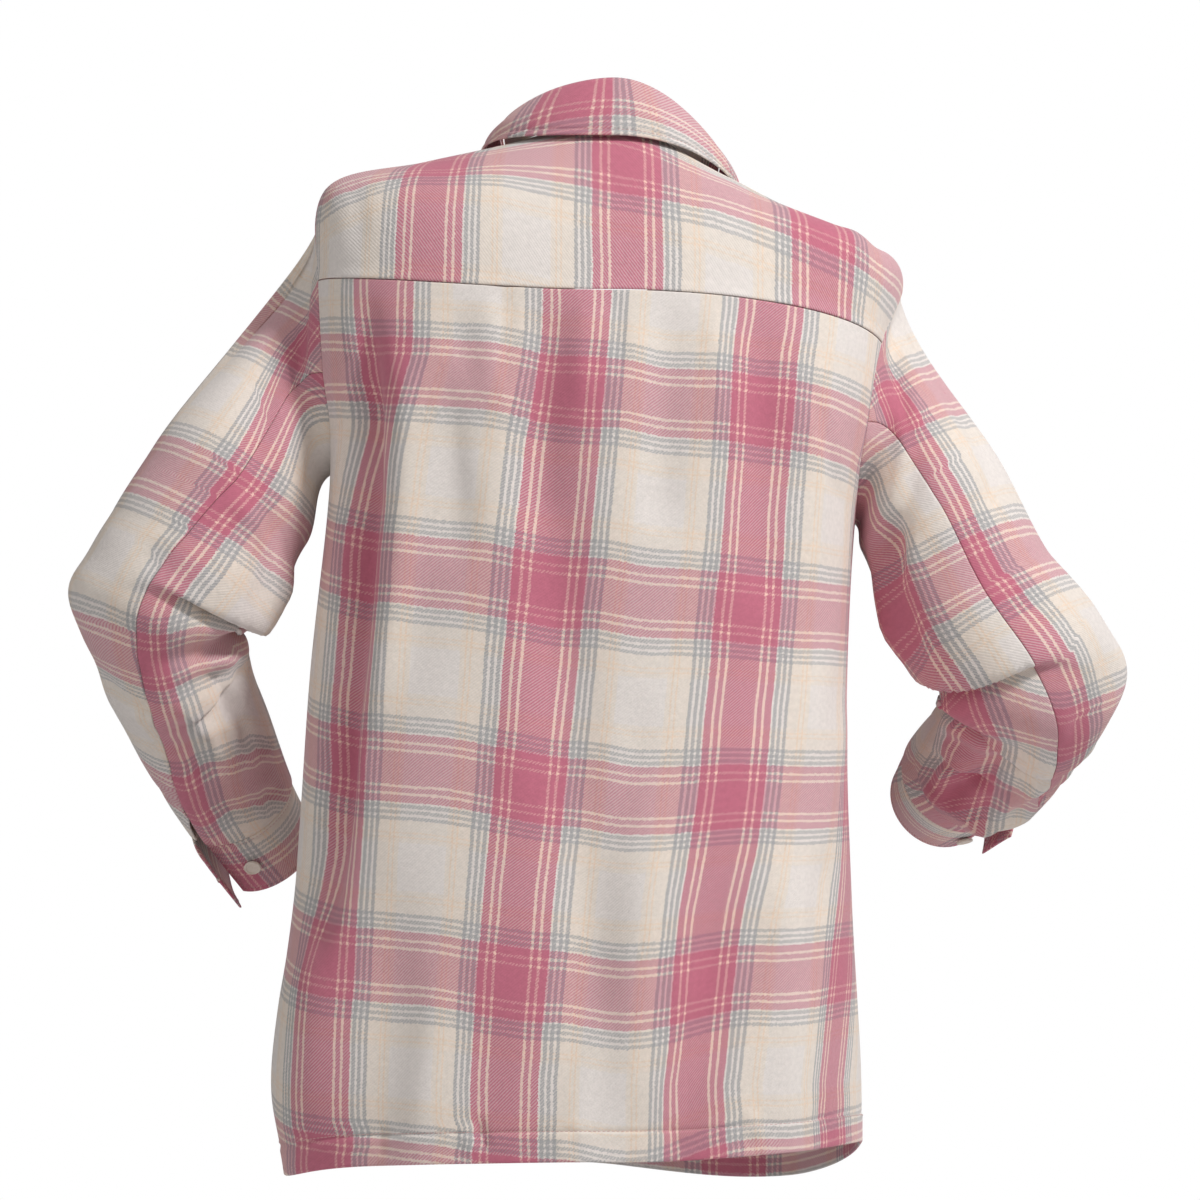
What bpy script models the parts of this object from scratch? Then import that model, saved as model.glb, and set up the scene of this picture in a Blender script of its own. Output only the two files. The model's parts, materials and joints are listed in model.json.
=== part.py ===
"""Plaid flannel shacket in its worn form: hollow cloth walls, one solid for each cut piece.

Metres, +Z up, the fronts face -Y, +X is the wearer's left. The origin is the middle of the neck opening.
"""

import bpy
import numpy as np

for item in list(bpy.data.objects):
    bpy.data.objects.remove(item, do_unlink=True)

# Driving dimensions
CLOTH = 0.002
COLLAR_CLOTH = 0.0022
CUFF_CLOTH = 0.0022
SEAM_ANGLE = 0.1
SEAM_LEVEL = 0.003
SLEEVE_SEAM = 0.2
ARMHOLE_GAP = 0.0005
EDGE_SHARE = 0.3
BAND_WIDTH = 0.034
LAP_DEPTH = 0.0027
BAND_SEAM = 0.0002
BAND_COLUMNS = 5
BUTTON_DIAMETER = 0.017
BUTTON_THICKNESS = 0.0036
BUTTON_CLEARANCE = 0.0004
BUTTON_SIDES = 12
CUFF_BUTTON_DIAMETER = 0.0135
CUFF_BUTTON_CLEARANCE = 0.001

# Body rings from the hem up. z, x and y are reaches at the back, front, wearer's left and right.
# power is the roundness (2 is an ellipse) and twist is how far the back leans to the left, in degrees.
RING_COLUMNS = (
    "z_back", "z_front", "z_left", "z_right", "x_left", "x_right", "y_back", "y_front", "power", "twist",
)
RINGS = (
    (-0.754, -0.750, -0.760, -0.737, 0.234, -0.179, 0.142, -0.150, 2.5, 10.0),
    (-0.690, -0.695, -0.692, -0.680, 0.246, -0.179, 0.140, -0.150, 2.5, 9.5),
    (-0.560, -0.570, -0.555, -0.565, 0.231, -0.174, 0.132, -0.148, 2.5, 8.5),
    (-0.405, -0.415, -0.400, -0.425, 0.222, -0.172, 0.121, -0.150, 2.5, 6.0),
    (-0.262, -0.272, -0.248, -0.285, 0.209, -0.180, 0.123, -0.165, 2.5, 2.5),
    (-0.195, -0.205, -0.175, -0.222, 0.220, -0.194, 0.123, -0.162, 2.6, 1.0),
    (-0.136, -0.155, -0.107, -0.159, 0.222, -0.203, 0.115, -0.148, 2.6, 0.0),
    (-0.082, -0.122, -0.033, -0.095, 0.215, -0.215, 0.103, -0.126, 2.5, 0.0),
    (-0.039, -0.102, -0.014, -0.062, 0.145, -0.145, 0.082, -0.105, 2.3, 0.0),
    (0.002, -0.083, 0.000, -0.026, 0.072, -0.070, 0.056, -0.083, 2.1, 0.0),
)
# Stretches where the hem hangs lower: angle, reach round the body and drop.
HEM_DROPS = ((24.0, 16.0, 0.007), (222.0, 34.0, 0.020))
ARMPIT_LEVEL = 4.0
YOKE_LEVEL = 6.0
SHOULDER_LEVEL = 7.0
NECK_LEVEL = 9.0

# Armhole: an oval in angle and level, wider in front, with its top drawn forward.
ARMHOLE_BACK = 27.0
ARMHOLE_FRONT = 30.0
ARMHOLE_LEAN = -12.0

# Angles round the armhole at which panels and sleeves share their points, 0 at the shoulder, 180 at the armpit.
YOKE_ANGLES = (0, 14, 28, 43, 57, 70.53)
BACK_ANGLES = (70.53, 81, 91, 101, 112, 124, 137, 151, 165, 180)
FRONT_ANGLES = (0, 15, 30, 45, 60, 75, 90, 104, 118, 134, 150, 165, 180)

# Folds on the body: near-upright troughs and ridges whose x follows top, middle and low. face 1 is the back.
FOLD_COLUMNS = ("face", "z_top", "z_low", "x_top", "x_middle", "x_low", "width", "height")
BODY_FOLDS = (
    (1, -0.118, -0.520, 0.178, 0.180, 0.205, 0.014, -0.0090),
    (1, -0.170, -0.470, 0.150, 0.151, 0.166, 0.016, 0.0040),
    (1, -0.128, -0.330, 0.045, 0.052, 0.058, 0.022, -0.0042),
    (1, -0.128, -0.350, 0.110, 0.111, 0.114, 0.020, -0.0030),
    (1, -0.130, -0.330, -0.040, -0.036, -0.034, 0.022, -0.0032),
    (1, -0.135, -0.380, -0.105, -0.108, -0.106, 0.020, -0.0036),
    (1, -0.180, -0.520, -0.150, -0.148, -0.140, 0.018, 0.0042),
    (1, -0.520, -0.950, -0.085, -0.045, 0.010, 0.024, -0.0065),
    (1, -0.480, -0.950, -0.035, 0.000, 0.050, 0.026, 0.0050),
    (1, -0.520, -0.950, -0.135, -0.122, -0.100, 0.022, 0.0055),
    (1, -0.540, -0.950, 0.150, 0.165, 0.185, 0.022, -0.0055),
    (1, -0.560, -0.950, 0.205, 0.222, 0.235, 0.020, 0.0060),
    (1, -0.620, -0.950, 0.085, 0.096, 0.110, 0.020, -0.0035),
    (-1, -0.250, -0.640, 0.100, 0.112, 0.120, 0.022, -0.0070),
    (-1, -0.260, -0.660, -0.090, -0.082, -0.075, 0.022, -0.0060),
    (-1, -0.280, -0.950, 0.165, 0.178, 0.195, 0.020, 0.0070),
    (-1, -0.290, -0.950, -0.130, -0.128, -0.125, 0.020, 0.0070),
    (-1, -0.090, -0.240, 0.118, 0.132, 0.152, 0.016, -0.0045),
    (-1, -0.110, -0.260, -0.118, -0.130, -0.148, 0.016, -0.0045),
)

# Front opening above the last fastened button: how far each front edge lies from the middle, by level.
SPREAD_LEVELS = (0.0, 5.1, 6.0, 7.0, 8.0, 9.0)
SPREAD = (0.0, 0.0, 0.017, 0.032, 0.041, 0.046)

# Sleeve sections from the biceps to the cuff's end: centre and radius across, to the back and to the front.
SECTION_COLUMNS = ("x", "y", "z", "across", "back", "front")
LEFT_SECTIONS = (
    (0.284, 0.004, -0.267, 0.0675, 0.064, 0.062),
    (0.309, 0.008, -0.311, 0.0680, 0.064, 0.052),
    (0.330, 0.006, -0.352, 0.0650, 0.063, 0.038),
    (0.320, -0.024, -0.400, 0.0540, 0.058, 0.044),
    (0.304, -0.060, -0.441, 0.0500, 0.053, 0.050),
    (0.284, -0.104, -0.484, 0.0440, 0.047, 0.046),
    (0.262, -0.140, -0.520, 0.0395, 0.042, 0.041),
)
RIGHT_SECTIONS = (
    (-0.239, 0.006, -0.280, 0.0610, 0.063, 0.062),
    (-0.268, 0.010, -0.341, 0.0615, 0.065, 0.050),
    (-0.304, 0.004, -0.394, 0.0660, 0.068, 0.030),
    (-0.303, -0.048, -0.425, 0.0640, 0.062, 0.036),
    (-0.288, -0.105, -0.443, 0.0570, 0.056, 0.048),
    (-0.272, -0.160, -0.456, 0.0490, 0.048, 0.047),
    (-0.259, -0.212, -0.470, 0.0410, 0.042, 0.041),
)
CUFF_SECTION = 6.0
LAST_SECTION = 7.0
# Angle of the back seam and of the front seam at sections 0 to 7, 0 being the top of the arm.
LEFT_BACK_SEAM = (112, 98, 90, 85, 80, 68, 52, 45)
RIGHT_BACK_SEAM = (110, 94, 94, 98, 92, 72, 52, 44)
FRONT_SEAM = (-104, -98, -96, -96, -100, -104, -108, -110)
# Turn of the sleeve out of the body's surface at 0, 45, 90, 135 and 180 degrees round the armhole.
DEPARTURE = (-20, -12, 10, 62, 128)
# Sections at which a sleeve has its rows, closer together at the elbow.
SLEEVE_ROWS = (
    0, 0.06, 0.2, 0.4, 0.6, 0.8, 1, 1.4, 1.8, 2.2, 2.6, 2.85, 3.05, 3.2, 3.32, 3.45, 3.6, 3.8, 4.1, 4.4, 4.8, 5.2, 5.6, 6,
)
VENT_START = 5.35
VENT_OPEN = 7.0
# The cuff starts this part of a section below the sleeve, and lies inside the sleeve's line.
CUFF_GAP = 0.014
CUFF_INSET = 0.0015
# The cuff's upper end: degrees past the vent, and how far and over how many degrees it stands out.
CUFF_LAP = 24.0
TAB_LIFT = 0.016
TAB_REACH = 50.0

# Folds on a sleeve: section, angle round the arm, reach along and round, and height.
SLEEVE_FOLD_COLUMNS = ("section", "angle", "along", "round", "height")
LEFT_SLEEVE_FOLDS = (
    (3.36, 150, 0.17, 48, -0.0100),
    (2.95, 140, 0.24, 50, 0.0050),
    (3.36, 225, 0.20, 45, -0.0085),
    (3.85, 75, 0.28, 45, 0.0030),
    (4.40, 100, 0.28, 50, -0.0035),
    (1.50, 170, 0.50, 30, -0.0050),
    (0.60, 60, 0.32, 28, 0.0030),
    (0.55, -60, 0.32, 28, -0.0045),
    (2.75, 265, 0.30, 45, 0.0040),
)
RIGHT_SLEEVE_FOLDS = (
    (3.34, 150, 0.17, 52, -0.0110),
    (2.92, 140, 0.26, 52, 0.0055),
    (3.36, 225, 0.20, 45, -0.0095),
    (3.85, 85, 0.28, 55, 0.0035),
    (4.40, 80, 0.28, 52, -0.0045),
    (4.95, 95, 0.30, 50, 0.0035),
    (1.50, 165, 0.50, 30, -0.0055),
    (0.65, 75, 0.32, 28, 0.0030),
    (0.55, -60, 0.32, 28, -0.0045),
)

# Collar round the neck. angle runs from the wearer's left front over the back to the right front.
# rise and flare place the fold above and outside the neck seam; edge is the level of the fall's lower edge.
COLLAR_COLUMNS = ("angle", "rise", "flare", "edge", "sweep")
COLLAR = (
    (-64.0, 0.010, 0.016, 7.05, -3.0),
    (-48.0, 0.013, 0.017, 7.70, -2.0),
    (-20.0, 0.015, 0.014, 8.48, 0.0),
    (0.0, 0.017, 0.011, 8.66, 0.0),
    (30.0, 0.024, 0.004, 8.70, 0.0),
    (60.0, 0.032, -0.002, 8.70, 0.0),
    (90.0, 0.036, -0.004, 8.70, 0.0),
    (120.0, 0.034, -0.002, 8.70, 0.0),
    (150.0, 0.027, 0.004, 8.70, 0.0),
    (180.0, 0.020, 0.012, 8.66, 0.0),
    (200.0, 0.016, 0.015, 8.48, 0.0),
    (228.0, 0.013, 0.017, 7.70, 2.0),
    (244.0, 0.010, 0.016, 7.05, 3.0),
)

# The stand starts NECK_SEAM above the neck seam, and the fall turns over its top with a bend of FALL_BEND.
NECK_SEAM = 0.0007
FALL_BEND = 0.0028
FALL_START = 0.0008
FALL_OUT = 0.0022
SHOULDER_OUT = 0.0056
SHOULDER_DROP = 0.0012
FALL_BELLY = 0.0025
FALL_REST = 0.0042

# Levels of the front buttons, the highest unfastened.
BUTTON_LEVELS = (0.78, 1.50, 2.16, 2.80, 3.52, 4.50, 6.10)
FASTENED_BELOW = 5.0


def curve(table, at):
    """Smooth curve (Catmull-Rom) through the rows of a table, read at row numbers that needn't be whole."""
    rows = np.asarray(table, float)
    at = np.clip(np.asarray(at, float), 0, len(rows) - 1)
    first = np.minimum(at.astype(int), len(rows) - 2)
    t = (at - first)[..., None]
    here, after = rows[first], rows[first + 1]
    before = np.where((first > 0)[..., None], rows[np.maximum(first - 1, 0)], 2 * here - after)
    last = np.where(
        (first + 2 < len(rows))[..., None], rows[np.minimum(first + 2, len(rows) - 1)], 2 * after - here
    )
    slope_in, slope_out = (after - before) / 2, (last - here) / 2
    return (
        (2 * t**3 - 3 * t**2 + 1) * here
        + (t**3 - 2 * t**2 + t) * slope_in
        + (3 * t**2 - 2 * t**3) * after
        + (t**3 - t**2) * slope_out
    )


def smooth(value):
    """0 below 0, 1 above 1 and an even ramp between."""
    value = np.clip(value, 0, 1)
    return value * value * (3 - 2 * value)


def unit(vectors):
    return vectors / np.maximum(np.linalg.norm(vectors, axis=-1, keepdims=True), 1e-9)


def body_base(angle, level):
    """The body without folds. Angle 0 is the wearer's left, 90 the back, 180 the right and 270 the front."""
    angle, level = np.broadcast_arrays(np.asarray(angle, float), np.asarray(level, float))
    ring = dict(zip(RING_COLUMNS, np.moveaxis(curve(RINGS, level), -1, 0)))
    turn = np.radians(angle - ring["twist"] * np.sin(np.radians(angle)))
    c, s = np.cos(turn), np.sin(turn)
    size = (np.abs(c) ** ring["power"] + np.abs(s) ** ring["power"]) ** (-1 / ring["power"])
    x = size * c * np.where(c > 0, ring["x_left"], -ring["x_right"])
    y = size * s * np.where(s > 0, ring["y_back"], -ring["y_front"])
    side = np.where(c > 0, ring["z_left"], ring["z_right"])
    end = np.where(s > 0, ring["z_back"], ring["z_front"])
    z = side * c**2 + end * s**2
    for middle, reach, drop in HEM_DROPS:
        off = (angle - middle + 180) % 360 - 180
        z = z - drop * np.exp(-((off / reach) ** 2)) * smooth(1 - level / 1.5)
    return np.stack([x, y, z], -1)


def normals(surface, u, v, step_u, step_v):
    """Outward normals of a surface of angle and level, by differences."""
    along_u = surface(u + step_u, v) - surface(u - step_u, v)
    along_v = surface(u, v + step_v) - surface(u, v - step_v)
    return unit(np.cross(along_u, along_v))


def fold_heights(points, facing):
    """How far the body's folds move each point out. A fold fades towards both of its ends."""
    total = np.zeros(points.shape[:-1])
    for row in BODY_FOLDS:
        fold = dict(zip(FOLD_COLUMNS, row))
        t = (fold["z_top"] - points[..., 2]) / (fold["z_top"] - fold["z_low"])
        line = (1 - t) * fold["x_top"] + t * fold["x_low"]
        line += 4 * t * (1 - t) * (fold["x_middle"] - (fold["x_top"] + fold["x_low"]) / 2)
        fade = smooth(t / 0.22) * smooth((1 - t) / 0.22)
        shown = smooth(facing * fold["face"] * 2.5)
        total += fold["height"] * fade * shown * np.exp(-(((points[..., 0] - line) / fold["width"]) ** 2))
    return total


def body(angle, level):
    """The body's outer surface with its folds, which die away at the yoke and the armholes."""
    points = body_base(angle, level)
    out = normals(body_base, np.asarray(angle, float), np.asarray(level, float), 0.5, 0.01)
    calm = np.clip((SHOULDER_LEVEL - np.asarray(level, float)) / 0.8, 0, 1)
    return points + (fold_heights(points, out[..., 1]) * calm)[..., None] * out


def body_normals(angle, level):
    return normals(body, np.asarray(angle, float), np.asarray(level, float), 0.6, 0.012)


def armhole_angle(level, back):
    """The armhole's edge on the wearer's left at a level, and the side seam below the armpit."""
    level = np.asarray(level, float)
    middle = (ARMPIT_LEVEL + SHOULDER_LEVEL) / 2
    half = (SHOULDER_LEVEL - ARMPIT_LEVEL) / 2
    up = np.clip((level - ARMPIT_LEVEL) / (2 * half), 0, 1)
    width = np.sqrt(np.clip(1 - ((level - middle) / half) ** 2, 0, 1))
    return ARMHOLE_LEAN * up + (ARMHOLE_BACK if back else -ARMHOLE_FRONT) * width


def armhole_levels(angles):
    """Levels on the body at angles round the armhole."""
    half = (SHOULDER_LEVEL - ARMPIT_LEVEL) / 2
    return ARMPIT_LEVEL + half + half * np.cos(np.radians(np.asarray(angles, float)))


def front_edge(level, side, offset):
    """Angle on the front at a distance from the middle, towards the wearer's left where side is 1."""
    ring = curve(RINGS, level)
    reach = np.interp(level, SPREAD_LEVELS, SPREAD) + offset
    half = (ring[..., RING_COLUMNS.index("x_left")] - ring[..., RING_COLUMNS.index("x_right")]) / 2
    return -90 + side * np.degrees(np.arcsin(reach / half))


def cloth(name, outer, inner, material):
    """A closed solid from a grid of outer and inner points."""
    rows, cols = outer.shape[:2]
    count = rows * cols
    verts = np.concatenate([outer.reshape(-1, 3), inner.reshape(-1, 3)])

    def corner(i, j, layer):
        return layer * count + i * cols + j

    faces = []
    for i in range(rows - 1):
        for j in range(cols - 1):
            square = [(i, j), (i, j + 1), (i + 1, j + 1), (i + 1, j)]
            faces.append([corner(*at, 0) for at in square])
            faces.append([corner(*at, 1) for at in reversed(square)])
    for i in range(rows - 1):
        for j, turn in ((0, 1), (cols - 1, -1)):
            side = [corner(i, j, 0), corner(i + 1, j, 0), corner(i + 1, j, 1), corner(i, j, 1)]
            faces.append(side[::turn])
    for j in range(cols - 1):
        for i, turn in ((0, -1), (rows - 1, 1)):
            side = [corner(i, j, 0), corner(i, j + 1, 0), corner(i, j + 1, 1), corner(i, j, 1)]
            faces.append(side[::turn])
    return solid(name, verts, faces, material)


def solid(name, verts, faces, material):
    mesh = bpy.data.meshes.new(name)
    mesh.from_pydata([tuple(v) for v in verts], [], faces)
    mesh.materials.append(material)
    obj = bpy.data.objects.new(name, mesh)
    collection.objects.link(obj)
    # The faces of a closed body that points inwards are turned round.
    triangles = [(f[0], f[k], f[k + 1]) for f in faces for k in range(1, len(f) - 1)]
    corners = np.asarray(verts)[np.array(triangles)]
    if np.linalg.det(corners).sum() < 0:
        mesh.flip_normals()
    return obj


def body_panel(name, rows, left, right, cols, depth=0.0):
    """A panel of the body between two edge angles, given by row. Only columns near an edge follow its curve."""
    share = np.linspace(0, 1, cols)
    start, end = left[0], right[0]
    angle = np.repeat((start + (end - start) * share)[None, :], len(rows), 0)
    near = np.clip(1 - share / EDGE_SHARE, 0, 1) * (left - start)[:, None]
    far = np.clip(1 - (1 - share) / EDGE_SHARE, 0, 1) * (right - end)[:, None]
    angle += near + far
    level = np.repeat(rows[:, None], cols, 1)
    out = body_normals(angle, level)
    outer = body(angle, level) - np.broadcast_to(depth, angle.shape)[..., None] * out
    return cloth(name, outer, outer - CLOTH * out, fabric)


def add_body():
    high = armhole_levels(BACK_ANGLES[::-1])
    high[-1] = YOKE_LEVEL - SEAM_LEVEL
    rows = np.concatenate([np.linspace(0, ARMPIT_LEVEL, 13), high[1:]])
    seam = np.where(rows <= ARMPIT_LEVEL, SEAM_ANGLE, 0)
    side = armhole_angle(rows, True) + seam
    body_panel("back_panel", rows, side, 180 - side, 33)

    low = armhole_levels(YOKE_ANGLES[::-1])
    low[0] = YOKE_LEVEL + SEAM_LEVEL
    rows = np.concatenate([low, np.linspace(SHOULDER_LEVEL, NECK_LEVEL, 7)[1:]])
    seam = np.where(rows >= SHOULDER_LEVEL, SEAM_ANGLE, 0)
    side = armhole_angle(rows, True) + seam
    body_panel("yoke", rows, side, 180 - side, 31)

    low = np.linspace(0, ARMPIT_LEVEL, 12)
    middle = armhole_levels(FRONT_ANGLES[::-1])[1:]
    high = np.linspace(SHOULDER_LEVEL, NECK_LEVEL, 6)[1:]
    rows = np.concatenate([low, middle, high])
    seam = np.where((rows <= ARMPIT_LEVEL) | (rows >= SHOULDER_LEVEL), SEAM_ANGLE, 0)
    side = armhole_angle(rows, False) - seam
    half = BAND_WIDTH / 2 + BAND_SEAM
    share = np.linspace(0, 1, 10)
    ease = LAP_DEPTH * smooth((share - 0.5) / 0.5)
    body_panel("front_left", rows, side, front_edge(rows, 1, half), 10, ease[None, :])
    body_panel("front_right", rows, front_edge(rows, -1, half), -180 - side, 10)

    half = BAND_WIDTH / 2
    for name, side, depth in (("band_right", -1, 0.0), ("band_left", 1, LAP_DEPTH)):
        near, far = front_edge(rows, side, -half), front_edge(rows, side, half)
        body_panel(name, rows, np.maximum(near, far), np.minimum(near, far), BAND_COLUMNS, depth)


def collar_row(angle):
    rows = np.asarray(COLLAR, float)
    place = np.interp(angle, rows[:, 0], np.arange(len(rows)))
    return dict(zip(COLLAR_COLUMNS, np.moveaxis(curve(COLLAR, place), -1, 0)))


def add_collar():
    """The stand rises from the neck seam; the fall turns over its top and lies on the shoulders."""
    edge_left = front_edge(NECK_LEVEL, 1, -BAND_WIDTH / 2)
    angle = np.linspace(edge_left, 180 - edge_left, 33)
    row = collar_row(angle)
    seam = body(angle, NECK_LEVEL)
    centre = seam.mean(0)
    outward = seam - centre
    outward[:, 2] = 0
    outward = unit(outward)
    up = np.zeros_like(outward)
    up[:, 2] = 1
    top = seam + row["rise"][:, None] * up + row["flare"][:, None] * outward
    rise = unit(top - seam)
    along = unit(np.gradient(seam, axis=0))
    out = unit(np.cross(rise, along))
    out *= np.sign((out * outward).sum(-1, keepdims=True))
    length = np.linalg.norm(top - seam, axis=-1)
    share = np.array([0.0, 0.35, 0.7, 1.0])
    reach = (NECK_SEAM + share[:, None] * (length - NECK_SEAM - FALL_BEND)[None, :])[..., None]
    wall = seam[None] + reach * rise[None]
    half = COLLAR_CLOTH / 2
    cloth("collar_stand", wall, wall - CLOTH * out, fabric)

    edge = angle - row["sweep"]
    lower = body(edge, row["edge"]) + FALL_REST * body_normals(edge, row["edge"])
    start = seam + (length - FALL_START)[:, None] * rise - half * out
    fold = start + (FALL_BEND - SHOULDER_DROP) * rise + FALL_OUT * out
    shoulder = start + SHOULDER_OUT * out - SHOULDER_DROP * rise
    drop = lower - shoulder
    bulge = unit(np.cross(along, drop))
    bulge *= np.sign((bulge * outward).sum(-1, keepdims=True))
    belly = shoulder + drop / 2 + FALL_BELLY * bulge
    spine = np.stack([start, fold, shoulder, belly, lower])
    profile = curve(spine.reshape(5, -1), np.linspace(0, 4, 9)).reshape(9, -1, 3)
    across = np.gradient(profile, axis=0)
    sideways = np.gradient(profile, axis=1)
    face = unit(np.cross(across, sideways))
    face *= np.sign((face[-1] * outward).sum())
    cloth("collar_fall", profile + half * face, profile - half * face, fabric)


class Arm:
    """A sleeve's surface: angle round the arm (0 top, 90 back, 180 under) and section (0 armhole, 7 cuff end)."""

    def __init__(self, side, sections, folds, back_seam):
        self.side = side
        self.sections = sections
        self.folds = folds
        self.back_seam = back_seam
        self.frames = self.transported()

    def armhole(self, angle):
        """Angle and level on the body of the armhole's edge."""
        turn = np.radians(angle)
        half = (SHOULDER_LEVEL - ARMPIT_LEVEL) / 2
        level = (ARMPIT_LEVEL + SHOULDER_LEVEL) / 2 + half * np.cos(turn)
        s = np.sin(turn)
        up = (level - ARMPIT_LEVEL) / (2 * half)
        around = ARMHOLE_LEAN * up + np.where(s > 0, ARMHOLE_BACK, ARMHOLE_FRONT) * s
        return (around if self.side > 0 else 180 - around), level

    def departure(self, angle):
        """Direction in which the sleeve leaves the armhole: turned out of the panel's plane, most under the arm."""
        edge = body_base(*self.armhole(angle + 1)) - body_base(*self.armhole(angle - 1))
        out = normals(body_base, *self.armhole(angle), 0.5, 0.01)
        inward = unit(np.cross(out, edge))
        towards = self.hole_centre() - body_base(*self.armhole(angle))
        inward = inward * np.sign((inward * towards).sum(-1, keepdims=True))
        round_arm = np.abs((angle + 180) % 360 - 180)
        turn = np.radians(curve(np.array(DEPARTURE, float)[:, None], round_arm / 45)[..., 0])[..., None]
        return np.cos(turn) * inward + np.sin(turn) * out

    def hole_centre(self):
        angle = (ARMHOLE_LEAN + ARMHOLE_BACK - ARMHOLE_FRONT) / 2
        level = (ARMPIT_LEVEL + SHOULDER_LEVEL) / 2
        return body_base(angle if self.side > 0 else 180 - angle, level)

    def transported(self):
        """Axes across each section, carried along the arm without twist, one row every 1/20 section."""
        place = np.linspace(0, len(self.sections) - 1, 20 * (len(self.sections) - 1) + 1)
        centres = curve(self.sections, place)[:, :3]
        ahead = unit(np.gradient(centres, axis=0))
        outer = np.array([self.side, 0.0, 0.5])
        rows = []
        for direction in ahead:
            outer = outer - (outer @ direction) * direction
            outer = outer / np.linalg.norm(outer)
            rows.append(np.concatenate([outer, direction]))
        return np.array(rows)

    def ring(self, angle, section):
        """A point of the free arm, from section 1 on."""
        place = np.clip(section - 1, 0, len(self.sections) - 1)
        row = curve(self.sections, place)
        frame = curve(self.frames, place * 20)
        outer, ahead = unit(frame[..., :3]), unit(frame[..., 3:])
        back = self.side * np.cross(outer, ahead)
        turn = np.radians(angle)[..., None]
        deep = np.where(np.sin(turn) > 0, row[..., 4:5], row[..., 5:6])
        point = row[..., :3] + row[..., 3:4] * np.cos(turn) * outer + deep * np.sin(turn) * back
        return point, ahead

    def plain(self, angle, section):
        angle, section = np.broadcast_arrays(np.asarray(angle, float), np.asarray(section, float))
        free, ahead = self.ring(angle, np.maximum(section, 1.0))
        around, level = self.armhole(angle)
        start = body(around, level)
        end, end_ahead = self.ring(angle, np.ones_like(section))
        span = np.linalg.norm(end - start, axis=-1, keepdims=True)
        leave = self.departure(angle)
        t = np.clip(section, 0, 1)[..., None]
        blend = (
            (2 * t**3 - 3 * t**2 + 1) * start
            + (t**3 - 2 * t**2 + t) * span * leave
            + (3 * t**2 - 2 * t**3) * end
            + (t**3 - t**2) * span * end_ahead
        )
        return np.where((section < 1)[..., None], blend, free)

    def fold_height(self, angle, section):
        total = np.zeros(np.shape(angle))
        for row in self.folds:
            fold = dict(zip(SLEEVE_FOLD_COLUMNS, row))
            round_arm = (angle - fold["angle"] + 180) % 360 - 180
            along = (section - fold["section"]) / fold["along"]
            total += fold["height"] * np.exp(-(along**2) - (round_arm / fold["round"]) ** 2)
        return total * np.clip(section / 0.15, 0, 1) * np.clip((CUFF_SECTION - section) / 0.3, 0, 1)

    def surface(self, angle, section):
        angle, section = np.broadcast_arrays(np.asarray(angle, float), np.asarray(section, float))
        out = self.facing(self.plain, angle, section)
        return self.plain(angle, section) + self.fold_height(angle, section)[..., None] * out

    def facing(self, surface, angle, section):
        return -self.side * normals(surface, angle, section, 1.0, 0.012)

    def out(self, angle, section):
        """Outward normals. At the armhole they are the body's, so that both edges face each other squarely."""
        angle, section = np.broadcast_arrays(np.asarray(angle, float), np.asarray(section, float))
        free = self.facing(self.surface, angle, np.maximum(section, 0.03))
        edge = body_normals(*self.armhole(angle))
        share = np.clip(section / 0.08, 0, 1)[..., None]
        return unit(share * free + (1 - share) * edge)

    def seam(self, section, back):
        table = self.back_seam if back else FRONT_SEAM
        return curve(np.array(table, float)[:, None], section)[..., 0]


def add_sleeve(arm, name):
    """Two pieces that meet along the arm's back and front seams, the back one ending in the cuff vent."""
    rows = np.array(SLEEVE_ROWS)
    vent = VENT_OPEN * np.clip((rows - VENT_START) / (CUFF_SECTION - VENT_START), 0, 1)
    back, front = arm.seam(rows, True), arm.seam(rows, False)
    around = np.concatenate([-np.array(FRONT_ANGLES[:0:-1]), YOKE_ANGLES, BACK_ANGLES[1:-1]])
    around = np.concatenate([around, around[:10] + 360])
    pieces = (
        ("top", front + SLEEVE_SEAM, back - SLEEVE_SEAM - vent),
        ("under", back + SLEEVE_SEAM + vent, front + 360 - SLEEVE_SEAM),
    )
    for piece, start, end in pieces:
        inside = around[(around > start[0] + 1) & (around < end[0] - 1)]
        share = (np.concatenate([[start[0]], inside, [end[0]]]) - start[0]) / (end[0] - start[0])
        angle = start[:, None] + (end - start)[:, None] * share
        section = np.repeat(rows[:, None], len(share), 1)
        out = arm.out(angle, section)
        points = arm.surface(angle, section)
        inward = arm.hole_centre() - points[0]
        inward -= (inward * out[0]).sum(-1, keepdims=True) * out[0]
        points[0] += ARMHOLE_GAP * unit(inward)
        cloth(f"sleeve_{name}_{piece}", points, points - CLOTH * out, fabric)


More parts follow.
